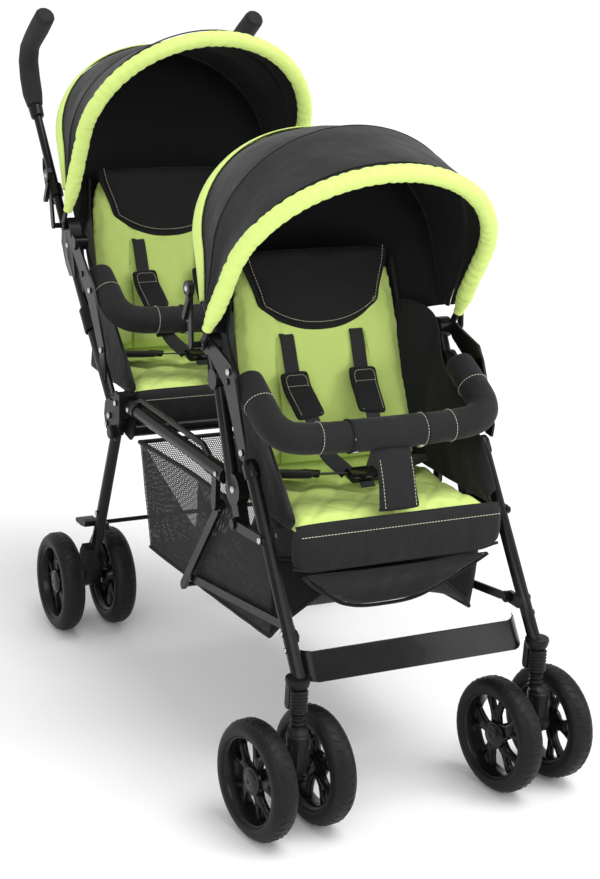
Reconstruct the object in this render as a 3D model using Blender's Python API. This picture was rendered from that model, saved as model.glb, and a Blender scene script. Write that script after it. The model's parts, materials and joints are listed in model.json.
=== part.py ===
"""Tandem double stroller, two seats one behind the other, eight twin wheels.

Metres, +Z up, the front of the stroller looks along -Y.
Side +1 is the stroller's own left (+X), side -1 its right (-X).
"""
import math

import bmesh
import bpy
from mathutils import Matrix, Vector

# Overall layout, (y, z) measured from the front swivel axes and the floor
GAP = 0.0003
WHEEL_R = 0.090
TYRE_HALF = 0.0205
FRONT_TRACK = 0.205
FRONT_TWIN = 0.050
CASTER_TRAIL = 0.0275
CASTER_TURN = math.radians(7.0)
REAR_TRACK = 0.2185
REAR_TWIN = 0.0492
REAR_AXLE = (0.864, WHEEL_R)
FRAME_X = 0.200
REAR_HUB = (0.745, 0.435)
FRONT_HUB = (0.252, 0.452)
LEG_PIVOT = (0.231, 0.405)
STRUT_PIVOT = (0.328, 0.402)
STRUT_FOOT = (0.466, 0.2180)
LINK_FOOT = (0.4522, 0.2364)
STRUT_IN = 0.1886
LINK_PIN = (0.080, 0.290)
CROSSBAR = (0.722, 0.411)
SECOND_SEAT = (0.645, 0.035)

# Tubes
RAIL_R = 0.011
RAIL_Z = REAR_HUB[1] + 0.027
RAIL_ENDS = (0.2860, 0.6970)
LEG_TOP = (0.206, 0.507)
LEG_FOOT = (0.0195, 0.2455)
LEG_WIDE = 0.0100
LEG_DEEP = 0.0110
LOWER_TUBE_R = 0.0100
UPPER_TUBE_R = 0.0080
KNUCKLE = (0.986, 0.668)
COLLAR = (1.187, 0.916)
PUSH_X = 0.205
GRIP_PATH = ((1.1890, 0.9187), (1.203, 0.938), (1.219, 0.968), (1.228, 0.998), (1.220, 1.024),
             (1.196, 1.043), (1.163, 1.064), (1.130, 1.086))
GRIP_R = 0.0185
CROSSBAR_R = 0.0110

# Front suspension and casters
STRUT_AXIS_Y = 0.008
SPRING_TOP = 0.2290
SPRING_FOOT = 0.1912
SPRING_R = 0.0085
SPRING_WIRE = 0.0012
SPRING_TURNS = 6
CASTER_HEAD_TOP = 0.1640
CASTER_HEAD_R = 0.0175

# Seats, given for the front seat
SEAT_HALF = 0.1780
SEAT_FRONT = (0.097, 0.433)
SEAT_REAR = (0.330, 0.440)
VALANCE_FOOT = 0.366
WING_X = 0.1735
WING_TOP = ((0.125, 0.4540), (0.150, 0.4960), (0.185, 0.5320), (0.222, 0.5600), (0.262, 0.5850),
            (0.295, 0.5990), (0.318, 0.6300), (0.330, 0.6560))
BACK_LEAN = math.radians(17.0)
BACK_FOOT = (0.336, 0.446)
BACK_HEIGHT = 0.235
BACK_THICK = 0.026
BACK_HALF_LOW = 0.160
BACK_HALF_TOP = 0.140
HEAD_HEIGHT = 0.112
HEAD_HALF = 0.138
BAR_R = 0.0245
BAR_HALF = FRAME_X - 0.017
BAR_PIVOT = (0.262, 0.618)
BAR_FRONT = (0.160, 0.549)

CROTCH_HALF = 0.0345

# Calf flap: half widths, heights and places of its top and bottom edges
FLAP_HALF = (0.160, 0.082)
FLAP_HIGH = (0.3620, 0.2860)
FLAP_Y = (0.0960, 0.1300)
FLAP_THICK = 0.0100

# Rear hood hinge: how far up the upper tube it is clamped, and how far behind the tube's line its pin is
HINGE_UP = 0.0531
HINGE_AWAY = -0.0250


def beside_tube(up, away):
    """A (y, z) point up the upper push tube from the knuckle and behind its line, in metres."""
    run, rise = COLLAR[0] - KNUCKLE[0], COLLAR[1] - KNUCKLE[1]
    long = math.hypot(run, rise)
    return (KNUCKLE[0] + (run * up + rise * away) / long, KNUCKLE[1] + (rise * up - run * away) / long)


# Hoods: foot of the roll on its bow, and the tab that ends the bow beside the post
ROLL_FOOT = 0.031
TAB_X = 0.2165
TAB_THICK = 0.0035

# Hoods: lean, half width, foot half width, side height and full height of the front bow, then of the middle bow
HOOD_F = {"pivot": (0.350, 0.655), "lean": 34.2, "w": 0.214, "wb": TAB_X + 0.0039, "s0": 0.153, "h": 0.341,
          "mid_s0": 0.150, "mid_h": 0.334}
HOOD_R = {"pivot": beside_tube(HINGE_UP, HINGE_AWAY), "lean": 27.7, "w": 0.213, "wb": TAB_X - 0.0014, "s0": 0.191, "h": 0.393,
          "mid_s0": 0.158, "mid_h": 0.337}
CLAMP_F = (0.009, 0.086)
CLAMP_R = (0.023, 0.088)
HOOD_SPLIT = 8.0
HOOD_BACK = -25.0
HOOD_FOOT = 0.062
CLOTH = 0.0015
HOOD_NEST = 0.0032
ROLL_R = 0.0140

# Basket, side outline on the (y, z) plane
BASKET_HALF = 0.1805
BASKET_TOP = ((0.700, 0.396), (0.512, 0.407), (0.325, 0.412), (0.160, 0.372))
BASKET_LOW = ((0.655, 0.2180), (0.417, 0.2270), (0.290, 0.2340), (0.168, 0.2420))
BASKET_FRONT_RISE = 0.072


for old in list(bpy.data.objects):
    bpy.data.objects.remove(old, do_unlink=True)

MATERIALS = {
    "powder_black": ((0.018, 0.018, 0.019), 0.38, 0.75),
    "plastic_black": ((0.016, 0.016, 0.017), 0.48, 0.0),
    "rubber_black": ((0.022, 0.022, 0.023), 0.72, 0.0),
    "foam_black": ((0.020, 0.020, 0.020), 0.85, 0.0),
    "fabric_lime": ((0.56, 0.78, 0.16), 0.86, 0.0),
    "fabric_charcoal": ((0.032, 0.032, 0.035), 0.88, 0.0),
    "mesh_black": ((0.030, 0.030, 0.032), 0.90, 0.0),
    "webbing_black": ((0.014, 0.014, 0.015), 0.80, 0.0),
    "spring_steel": ((0.05, 0.05, 0.052), 0.30, 0.90),
}
NODES = []


def material(slot):
    """One Principled material a slot, made the first time that it is asked for."""
    found = bpy.data.materials.get(slot)
    if found:
        return found
    colour, rough, metal = MATERIALS[slot]
    mat = bpy.data.materials.new(slot)
    mat.use_nodes = True
    shader = mat.node_tree.nodes["Principled BSDF"]
    shader.inputs["Base Color"].default_value = (*colour, 1.0)
    shader.inputs["Roughness"].default_value = rough
    shader.inputs["Metallic"].default_value = metal
    return mat


def mesh_object(name, verts, faces):
    """A closed body with its faces turned outward."""
    mesh = bpy.data.meshes.new(name)
    mesh.from_pydata([tuple(v) for v in verts], [], faces)
    work = bmesh.new()
    work.from_mesh(mesh)
    bmesh.ops.remove_doubles(work, verts=work.verts, dist=0.0000005)
    bmesh.ops.delete(work, geom=[e for e in work.edges if not e.link_faces], context="EDGES")
    bmesh.ops.recalc_face_normals(work, faces=work.faces)
    work.to_mesh(mesh)
    work.free()
    obj = bpy.data.objects.new(name, mesh)
    bpy.context.scene.collection.objects.link(obj)
    return obj


def union(name, pieces):
    """Pieces that run into each other, joined to one body."""
    base = pieces[0]
    base.name = name
    for other in pieces[1:]:
        cut = base.modifiers.new("join", "BOOLEAN")
        cut.operation = "UNION"
        cut.solver = "EXACT"
        cut.object = other
        bpy.context.view_layer.update()
        joined = bpy.data.meshes.new_from_object(base.evaluated_get(bpy.context.evaluated_depsgraph_get()))
        base.modifiers.clear()
        base.data = joined
        bpy.data.objects.remove(other, do_unlink=True)
    return base


def finish(obj, slot, origin=(0.0, 0.0, 0.0), smooth=True):
    """Clean the mesh, set its material, shading and origin."""
    work = bmesh.new()
    work.from_mesh(obj.data)
    bmesh.ops.remove_doubles(work, verts=work.verts, dist=0.00002)
    bmesh.ops.dissolve_degenerate(work, edges=work.edges, dist=0.00002)
    bmesh.ops.dissolve_limit(work, angle_limit=0.002, verts=work.verts, edges=work.edges)
    bmesh.ops.delete(work, geom=[e for e in work.edges if not e.link_faces], context="EDGES")
    bmesh.ops.triangulate(work, faces=[f for f in work.faces if len(f.verts) > 4])
    bmesh.ops.recalc_face_normals(work, faces=work.faces)
    bmesh.ops.translate(work, verts=work.verts, vec=-Vector(origin))
    for edge in work.edges:
        flat = len(edge.link_faces) != 2 or edge.calc_face_angle(0.0) > math.radians(38.0)
        edge.smooth = not flat
    for face in work.faces:
        face.smooth = smooth
    work.to_mesh(obj.data)
    work.free()
    obj.data.materials.clear()
    obj.data.materials.append(material(slot))
    obj.location = origin
    NODES.append(obj)
    return obj


# Shape makers
def rings_to_body(name, rings, closed=False):
    """A skin over rings of the same count, with its ends capped, or closed on itself."""
    count = len(rings[0])
    verts = [p for ring in rings for p in ring]
    faces = []
    last = len(rings) if closed else len(rings) - 1
    for i in range(last):
        a = i * count
        b = ((i + 1) % len(rings)) * count
        for k in range(count):
            n = (k + 1) % count
            faces.append((a + k, a + n, b + n, b + k))
    if not closed:
        faces.append(tuple(range(count))[::-1])
        faces.append(tuple(range((len(rings) - 1) * count, len(rings) * count)))
    return mesh_object(name, verts, faces)


def frames_along(path, up=(1.0, 0.0, 0.0)):
    """Position, side and normal at each path point, the side kept near the given direction."""
    points = [Vector(p) for p in path]
    out = []
    for i, point in enumerate(points):
        ahead = points[min(i + 1, len(points) - 1)] - point
        behind = point - points[max(i - 1, 0)]
        ahead = ahead.normalized() if ahead.length > 1e-9 else ahead
        behind = behind.normalized() if behind.length > 1e-9 else behind
        tangent = (ahead + behind).normalized()
        side = Vector(up) - tangent * tangent.dot(Vector(up))
        side.normalize()
        out.append((point, side, tangent.cross(side)))
    return out


def tube(name, path, radius, sides=10, up=(1.0, 0.0, 0.0), flat=1.0, turn=0.5):
    """A bar of round or oval section; radius is a number or one for each point."""
    rings = []
    sizes = radius if isinstance(radius, (list, tuple)) else [radius] * len(path)
    for (point, side, normal), size in zip(frames_along(path, up), sizes):
        ring = []
        for k in range(sides):
            angle = 2.0 * math.pi * (k + turn) / sides
            ring.append(point + side * (size * math.cos(angle)) + normal * (size * flat * math.sin(angle)))
        rings.append(ring)
    return rings_to_body(name, rings)


def strip(name, path, half_width, thick, up=(1.0, 0.0, 0.0)):
    """A flat webbing or bar with a rectangular section, wide along `up`."""
    rings = []
    widths = half_width if isinstance(half_width, (list, tuple)) else [half_width] * len(path)
    for (point, side, normal), half in zip(frames_along(path, up), widths):
        t = thick / 2.0
        rings.append([point + side * half + normal * t, point - side * half + normal * t,
                      point - side * half - normal * t, point + side * half - normal * t])
    return rings_to_body(name, rings)


def plate(name, outline, x0, x1):
    """A (y, z) outline with thickness across X."""
    low = [Vector((x0, y, z)) for y, z in outline]
    high = [Vector((x1, y, z)) for y, z in outline]
    return rings_to_body(name, [low, high])


def block(name, centre, size):
    """A plain block."""
    x, y, z = centre
    a, b, c = (s / 2.0 for s in size)
    return plate(name, ((y - b, z - c), (y + b, z - c), (y + b, z + c), (y - b, z + c)), x - a, x + a)


def bar_outline(start, end, half, round_steps=3):
    """The (y, z) outline of a flat bar with round ends."""
    a, b = Vector(start), Vector(end)
    heading = math.atan2(b.y - a.y, b.x - a.x)
    points = []
    for centre, first in ((b, heading - math.pi / 2), (a, heading + math.pi / 2)):
        for k in range(round_steps + 1):
            angle = first + math.pi * k / round_steps
            points.append((centre.x + half * math.cos(angle), centre.y + half * math.sin(angle)))
    return points


def disc(name, centre, radius, x0, x1, sides=12):
    """A cylinder along X about a (y, z) centre."""
    outline = []
    for k in range(sides):
        angle = 2.0 * math.pi * (k + 0.5) / sides
        outline.append((centre[0] + radius * math.cos(angle), centre[1] + radius * math.sin(angle)))
    return plate(name, outline, x0, x1)


def lathe(name, profile, centre, axis="X", sides=16, turn=0.5):
    """A closed (along, radius) profile turned about an axis through the centre."""
    rings = []
    for k in range(sides):
        angle = 2.0 * math.pi * (k + turn) / sides
        ring = []
        for along, radius in profile:
            p, q = radius * math.cos(angle), radius * math.sin(angle)
            local = Vector((along, p, q)) if axis == "X" else Vector((p, q, along))
            ring.append(local + Vector(centre))
        rings.append(ring)
    return rings_to_body(name, rings, closed=True)


def turned(name, profile, centre, axis="X", sides=14):
    """A solid of revolution from (along, radius) steps, its ends capped."""
    rings = []
    for along, radius in profile:
        ring = []
        for k in range(sides):
            angle = 2.0 * math.pi * (k + 0.5) / sides
            p, q = radius * math.cos(angle), radius * math.sin(angle)
            local = Vector((along, p, q)) if axis == "X" else Vector((p, q, along))
            ring.append(local + Vector(centre))
        rings.append(ring)
    return rings_to_body(name, rings)


def eye(name, centre, outer, inner, x0, x1, sides=10):
    """A ring across X, for a rivet to pass through."""
    x0, x1 = (x0 - 0.0001, x1 + 0.0001) if x1 > x0 else (x0 + 0.0001, x1 - 0.0001)
    return lathe(name, ((x0, inner), (x1, inner), (x1, outer), (x0, outer)),
                 (0.0, centre[0], centre[1]), "X", sides)


def sheet(name, grid, thick, close_rows=False):
    """A cloth of even thickness laid on a grid of points, inward along its normals."""
    rows, cols = len(grid), len(grid[0])
    inner = []
    for i in range(rows):
        line = []
        for j in range(cols):
            up_row = grid[(i + 1) % rows] if close_rows else grid[min(i + 1, rows - 1)]
            low_row = grid[i - 1] if close_rows else grid[max(i - 1, 0)]
            du = up_row[j] - low_row[j]
            dv = grid[i][min(j + 1, cols - 1)] - grid[i][max(j - 1, 0)]
            normal = du.cross(dv).normalized()
            line.append(grid[i][j] + normal * thick)
        inner.append(line)
    verts = [p for row in grid for p in row] + [p for row in inner for p in row]
    off = rows * cols
    faces = []
    last = rows if close_rows else rows - 1
    for i in range(last):
        n = (i + 1) % rows
        for j in range(cols - 1):
            a, b, c, d = i * cols + j, i * cols + j + 1, n * cols + j + 1, n * cols + j
            faces.append((a, b, c, d))
            faces.append((off + d, off + c, off + b, off + a))
    for i in range(last):
        n = (i + 1) % rows
        for j in (0, cols - 1):
            a, d = i * cols + j, n * cols + j
            faces.append((a, d, off + d, off + a) if j == 0 else (d, a, off + a, off + d))
    if not close_rows:
        for i in (0, rows - 1):
            for j in range(cols - 1):
                a, b = i * cols + j, i * cols + j + 1
                faces.append((b, a, off + a, off + b) if i == 0 else (a, b, off + b, off + a))
    return mesh_object(name, verts, faces)


def mix(a, b, t):
    """Straight blend of two numbers or two vectors."""
    return a * (1.0 - t) + b * t


def point_on(start, end, t, x):
    """A point at fraction t of a (y, z) line, at the given x."""
    return Vector((x, mix(start[0], end[0], t), mix(start[1], end[1], t)))


def shifted(points, move):
    """(y, z) points moved by (dy, dz)."""
    return [(y + move[0], z + move[1]) for y, z in points]


# Wheels
def wheel(name, centre, outward, turn_z=0.0, pivot=(0.0, 0.0)):
    """Tyre, dished rim, five forked spokes and a hub with a blind bore, all one casting."""
    half, r = TYRE_HALF, WHEEL_R
    seg = 20
    flat = 1.0 / math.cos(math.pi / seg)
    ring = ((-0.0078, r * flat), (0.0078, r * flat), (half * 0.90, r * 0.935 * flat), (half, r * 0.83),
            (half * 0.58, r * 0.725), (half * 0.50, r * 0.655), (-half * 0.58, r * 0.655),
            (-half, r * 0.83), (-half * 0.90, r * 0.935 * flat))
    tyre = lathe(name, ring, (0, 0, 0), "X", seg)
    bore = 0.0047
    hub = lathe("hub", ((-half, bore), (-half, 0.0130), (0.0070, 0.0172), (0.0135, 0.0135),
                        (0.0150, 0.0), (0.0020, 0.0), (0.0020, bore)), (0, 0, 0), "X", 8)
    spokes = []
    for k in range(5):
        for lean in (-0.165, 0.165):
            a = 2.0 * math.pi * (k + 0.27) / 5
            inner = Vector((0.0032, 0.0118 * math.cos(a + lean * 0.9), 0.0118 * math.sin(a + lean * 0.9)))
            outer = Vector((0.0044, r * 0.695 * math.cos(a + lean), r * 0.695 * math.sin(a + lean)))
            spokes.append(strip("spoke", (inner, outer), 0.0041, 0.0050))
    body = union(name, [tyre, hub] + spokes)
    for v in body.data.vertices:
        v.co.x *= outward
        v.co = Matrix.Rotation(turn_z, 3, "Z") @ (v.co + Vector(centre) - Vector((*pivot, 0))) + Vector((*pivot, 0))
    turned_centre = Matrix.Rotation(turn_z, 3, "Z") @ (Vector(centre) - Vector((*pivot, 0))) + Vector((*pivot, 0))
    return finish(body, "rubber_black", turned_centre)


def side_name(side):
    """The stroller's own left is +X."""
    return "left" if side > 0 else "right"


def twin_name(side, inner):
    """Outer or inner wheel of a pair."""
    return ("inner_" if inner else "outer_") + side_name(side)


def caster(side):
    """Fork with its two wheels, turned a little as in use, on the swivel axis."""
    x = side * FRONT_TRACK
    pivot = (x, 0.0)
    turn = Matrix.Rotation(CASTER_TURN, 4, "Z")
    head = turned("caster_fork", ((0.124, CASTER_HEAD_R * 0.86), (0.128, CASTER_HEAD_R),
                                  (CASTER_HEAD_TOP - 0.003, CASTER_HEAD_R),
                                  (CASTER_HEAD_TOP, CASTER_HEAD_R * 0.8)), (x, 0, 0), "Z", 16)
    axle_y, axle_z = CASTER_TRAIL, WHEEL_R
    web = plate("web", ((-0.015, 0.140), (-0.0155, 0.118), (0.004, 0.088), (0.018, 0.0775), (0.030, 0.0750),
                        (0.041, 0.0800), (0.042, 0.094), (0.031, 0.108), (0.018, 0.128), (0.015, 0.142)),
                x - 0.011, x + 0.011)
    boss = disc("boss", (axle_y, axle_z), 0.0105, x - 0.0265, x + 0.0265, 12)
    axle = disc("axle", (axle_y, axle_z), 0.0042, x - FRONT_TWIN - 0.0010, x + FRONT_TWIN + 0.0010, 8)
    fork = union("caster_fork_" + side_name(side), [head, web, boss, axle])
    to_pivot = Matrix.Translation((x, 0, 0)) @ turn @ Matrix.Translation((-x, 0, 0))
    fork.data.transform(to_pivot)
    finish(fork, "plastic_black", (x, 0.0, 0.145))
    for inner in (False, True):
        out = side * (-1 if inner else 1)
        wheel("wheel_front_" + twin_name(side, inner), (x + out * FRONT_TWIN, axle_y, axle_z), out,
              CASTER_TURN, pivot)


def rear_wheels(side):
    """The fixed twin wheels at the back."""
    for inner in (False, True):
        out = side * (-1 if inner else 1)
        wheel("wheel_rear_" + twin_name(side, inner),
              (side * REAR_TRACK + out * REAR_TWIN, REAR_AXLE[0], REAR_AXLE[1]), out)


# Front suspension
def suspension(side):
    """Housing on the leg foot, plunger with its boot, and the spring between them."""
    x, y = side * FRAME_X, STRUT_AXIS_Y
    x = side * (FRAME_X + 0.003)
    top = LEG_FOOT[1] - GAP
    low = SPRING_TOP + 0.0006
    cap = lathe("suspension_housing", ((low, 0.0054), (low, 0.0150), (low + 0.004, 0.0170), (top - 0.003, 0.0190),
                                       (top, 0.0180), (top, 0.0), (top - 0.0022, 0.0),
                                       (top - 0.0022, 0.0054)), (x, y + 0.0055, 0), "Z", 14)
    for v in cap.data.vertices:
        reach = math.hypot(v.co.x - x, v.co.y - y - 0.0055)
        if reach < 0.010:
            v.co.y -= 0.0055
    arm = plate("arm", ((y + 0.0150, top - 0.008), (y + 0.0150, 0.196), (y + 0.018, 0.1905), (y + 0.026, 0.1905),
                        (y + 0.0290, 0.196), (y + 0.0275, 0.232), (y + 0.022, top - 0.003)),
                x - 0.0085, x + 0.0085)
    finish(union("suspension_housing_" + side_name(side), [cap, arm]), "plastic_black",
           (x, y, low))
    foot = CASTER_HEAD_TOP + GAP
    plunger = turned("suspension_plunger_" + side_name(side),
                     ((foot, 0.0150), (foot + 0.005, 0.0158), (foot + 0.008, 0.0110), (foot + 0.012, 0.0120),
                      (foot + 0.015, 0.0102), (foot + 0.019, 0.0112), (foot + 0.0215, 0.0096),
                      (foot + 0.0235, 0.0118), (SPRING_FOOT - 0.0004, 0.0118),
                      (SPRING_FOOT - 0.0004, 0.0045), (SPRING_TOP + 0.0042, 0.0045)), (x, y, 0), "Z", 10)
    for v in plunger.data.vertices:
        fade = max(0.0, (foot + 0.008 - v.co.z) / 0.008)
        v.co.y -= STRUT_AXIS_Y * min(1.0, fade)
        v.co.x += (side * FRONT_TRACK - x) * min(1.0, fade)
    finish(plunger, "plastic_black", (x, y, foot))
    steps = 8
    count = SPRING_TURNS * steps
    path = []
    for k in range(count + 1):
        t = k / count
        angle = 2.0 * math.pi * SPRING_TURNS * t
        rise = SPRING_WIRE * 1.05 + (SPRING_TOP - SPRING_FOOT - SPRING_WIRE * 2.1) * t
        path.append(Vector((x + SPRING_R * math.cos(angle), y + SPRING_R * math.sin(angle), SPRING_FOOT + rise)))
    least = min((path[i] - path[i + steps]).length for i in range(count - steps)) - 2.0 * SPRING_WIRE
    print("spring least gap to itself m", round(least, 5))
    coil = tube("suspension_spring_" + side_name(side), path, SPRING_WIRE, 5, up=(0.0, 0.0, 1.0))
    finish(coil, "spring_steel", (x, y, SPRING_FOOT))


# Front legs and their links
def front_leg(side):
    """Oval leg with its top cap, the flat upper link and the bracket for the lower link."""
    x = side * FRAME_X
    slope = (LEG_TOP[0] - LEG_FOOT[0]) / (LEG_TOP[1] - LEG_FOOT[1])
    path = [(x, LEG_FOOT[0], LEG_FOOT[1]), (x, LEG_TOP[0], LEG_TOP[1])]
    leg = tube("front_leg_" + side_name(side), path, [LEG_WIDE, LEG_WIDE], 10, flat=LEG_DEEP / LEG_WIDE)
    for v in leg.data.vertices:
        if v.co.z < LEG_FOOT[1] + 0.02:
            v.co.y += slope * (LEG_FOOT[1] - v.co.z)
            v.co.z = LEG_FOOT[1]
    cap = tube("cap", [point_on(LEG_FOOT, LEG_TOP, t, x) for t in (0.925, 0.932, 0.99, 1.012)],
               [0.0118, 0.0126, 0.0126, 0.0090], 10)
    a, b = side * 0.2075, side * 0.2125
    pinned = point_on(LEG_FOOT, LEG_TOP, 0.633, x)
    link_front = (pinned.y - 0.0025, pinned.z)
    link = plate("link", bar_outline(link_front, (LEG_PIVOT[0] - 0.0145, LEG_PIVOT[1]), 0.0075), a, b)
    ring = eye("ring", LEG_PIVOT, 0.0105, 0.0056, a, b)
    head = disc("head", link_front, 0.0055, side * 0.205, side * 0.2150, 8)
    c, d = side * 0.1885, side * 0.1945
    foot = point_on(LEG_FOOT, LEG_TOP, 0.17, x)
    bracket = plate("bracket", bar_outline((foot.y, foot.z), LINK_PIN, 0.0095), c, d)
    pin = disc("pin", LINK_PIN, 0.0040, side * 0.1900, side * 0.1815, 8)
    pin_head = disc("pin_head", LINK_PIN, 0.0068, side * 0.1800, side * 0.1821, 8)
    rivets = [disc("rivet", point, 0.0048, side * 0.205, side * 0.2118, 6)
              for point in [(spot.y + 0.0013, spot.z) for spot in (point_on(LEG_FOOT, LEG_TOP, 0.113, x),
                                                                   point_on(LEG_FOOT, LEG_TOP, 0.189, x))]]
    finish(union(leg.name, [leg, cap, link, ring, head, bracket, pin, pin_head] + rivets), "powder_black",
           (x, *LEG_PIVOT))


def lower_link(side):
    """Flat link from the leg bracket back to the strut foot."""
    a, b = side * 0.1826, side * 0.1864
    bar = plate("lower_link_" + side_name(side),
                bar_outline((LINK_PIN[0] + 0.0125, LINK_PIN[1] - 0.0018), LINK_FOOT, 0.0065), a, b)
    front = eye("front", LINK_PIN, 0.0095, 0.0045, a, b)
    rivet = disc("rivet", LINK_FOOT, 0.0042, side * 0.1814, side * (STRUT_IN - GAP), 8)
    finish(union(bar.name, [bar, front, rivet]), "powder_black", (side * 0.1845, *LINK_PIN))


def strut_frame():
    """Two flat basket struts on the cross rod that carries the basket floor."""
    pieces = [disc("basket_strut_frame", STRUT_FOOT, 0.0040, -0.1925, 0.1925, 8)]
    for side in (-1, 1):
        a, b = side * STRUT_IN, side * (STRUT_IN + 0.0056)
        pieces.append(plate("bar", bar_outline((STRUT_PIVOT[0] + 0.0088, STRUT_PIVOT[1] - 0.0118), STRUT_FOOT, 0.0080),
                            a, b))
        pieces.append(eye("eye", STRUT_PIVOT, 0.0105, 0.0050, a, b))
    finish(union("basket_strut_frame", pieces), "powder_black", (0.0, *STRUT_PIVOT))


def footrest():
    """Flat cross plate between the front legs with its ends bent back along them."""
    z0, z1 = 0.2300, 0.2670
    half = FRAME_X - LEG_WIDE - GAP - 0.0002
    slope = (LEG_TOP[0] - LEG_FOOT[0]) / (LEG_TOP[1] - LEG_FOOT[1])
    rings = []
    for u in (-1.0, -0.985, -0.93, -0.88, 0.88, 0.93, 0.985, 1.0):
        back = {1.0: 0.026, 0.985: 0.018, 0.93: 0.006, 0.88: 0.0}[abs(u)]
        ring = []
        for y, z in ((0.0, z0), (0.0, z1), (0.0034, z1), (0.0034, z0)):
            ring.append(Vector((u * half, 0.0150 + y + back + slope * (z - z0), z)))
        rings.append(ring)
    bar = rings_to_body("footrest_plate", rings)
    finish(bar, "powder_black", (0.0, 0.030, 0.248), smooth=False)


# Rails, hubs and posts
def side_rail(side):
    """Rail with its plastic sleeves, the seat tube above it and the strut bracket."""
    x = side * FRAME_X
    y0, y1 = RAIL_ENDS
    path = [(x, y, RAIL_Z) for y in (y0, 0.355, 0.3555, 0.6595, 0.6600, y1)]
    rail = tube("side_rail_" + side_name(side), path, [0.0132, 0.0132, RAIL_R, RAIL_R, 0.0134, 0.0134], 10)
    seat_x = side * 0.1868
    seat = tube("seat_tube", [(x, 0.690, RAIL_Z + 0.006), (seat_x + side * 0.006, 0.660, 0.4810),
                              (seat_x + side * 0.004, 0.400, 0.4790), (x, 0.345, RAIL_Z + 0.006)], 0.0052, 8)
    bracket = plate("bracket", bar_outline((STRUT_PIVOT[0], RAIL_Z - 0.006), STRUT_PIVOT, 0.0085),
                    side * 0.1955, side * 0.2035)
    pin = disc("pin", STRUT_PIVOT, 0.0040, side * 0.1980, side * 0.1868, 8)
    head = disc("head", STRUT_PIVOT, 0.0068, side * 0.1880, side * 0.1856, 8)
    rivets = [disc("rivet", (y, RAIL_Z + 0.001), 0.0045, side * 0.206, side * 0.2142, 6) for y in (0.300, 0.675)]
    finish(union(rail.name, [rail, seat, bracket, pin, head] + rivets), "powder_black", (x, y0, RAIL_Z))


def rear_hub(side):
    """Two cheeks on a pin, with the block that takes the rail and the end cap of the cross bar."""
    y, z = REAR_HUB
    outline = ((y - 0.045, z + 0.048), (y - 0.0470, z + 0.004), (y - 0.040, z - 0.028), (y - 0.026, z - 0.040),
               (y - 0.002, z - 0.036), (y + 0.020, z - 0.026), (y + 0.0290, z - 0.004), (y + 0.026, z + 0.020),
               (y + 0.012, z + 0.036), (y - 0.012, z + 0.052))
    inner = plate("rear_hub", outline, side * 0.1872, side * 0.1918)
    cut = outline[:7] + ((y + 0.025, z + 0.019), (y + 0.012, z + 0.0295), (y - 0.0135, z + 0.0295),
                         (y - 0.022, z + 0.050))
    outer = plate("outer", cut, side * 0.2150, side * 0.2198)
    wall = plate("wall", ((y - 0.045, z + 0.046), (y - 0.0455, z + 0.006), (y - 0.0300, z + 0.004),
                          (y - 0.0235, z + 0.020), (y - 0.0230, z + 0.048)), side * 0.189, side * 0.218)
    pin = disc("pin", REAR_HUB, 0.0055, side * 0.189, side * 0.2225, 12)
    cap = turned("cap", ((0.2140, 0.0125), (0.2270, 0.0130), (0.2300, 0.0100)), (0, *CROSSBAR), "X", 12)
    if side < 0:
        cap.data.transform(Matrix.Scale(-1.0, 4, (1, 0, 0)))
        cap.data.flip_normals()
    heads = [disc("head", p, 0.0052, side * 0.2170, side * 0.2222, 6) for p in ((y - 0.0300, z + 0.030),
                                                                             (y + 0.0140, z - 0.018))]
    finish(union("rear_hub_" + side_name(side), [inner, wall, outer, pin, cap] + heads), "plastic_black",
           (side * FRAME_X, *REAR_HUB))


def crossbar():
    """Round bar between the rear hubs."""
    end = 0.1872 - GAP
    finish(disc("rear_crossbar", CROSSBAR, CROSSBAR_R, -end, end, 14), "powder_black", (0.0, *CROSSBAR))


def hood_bracket(side, pivot, clamp, x_from):
    """Pin of the hood hinge with the arm and knob of its clamp outside the cloth."""
    pin = disc("pin", pivot, 0.0050, side * x_from, side * 0.2375, 8)
    arm = plate("arm", bar_outline(pivot, clamp, 0.0065, 3), side * 0.2352, side * 0.2392)
    knob = disc("knob", clamp, 0.0120, side * 0.2345, side * 0.2440, 10)
    loop = plate("loop", bar_outline((clamp[0] - 0.004, clamp[1] - 0.014), (clamp[0] + 0.012, clamp[1] - 0.046),
                                     0.0048, 3), side * 0.2362, side * 0.2432)
    return [pin, arm, knob, loop]


def beyond(spot, step):
    """A (y, z) point a step away from another."""
    return (spot[0] + step[0], spot[1] + step[1])


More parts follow.
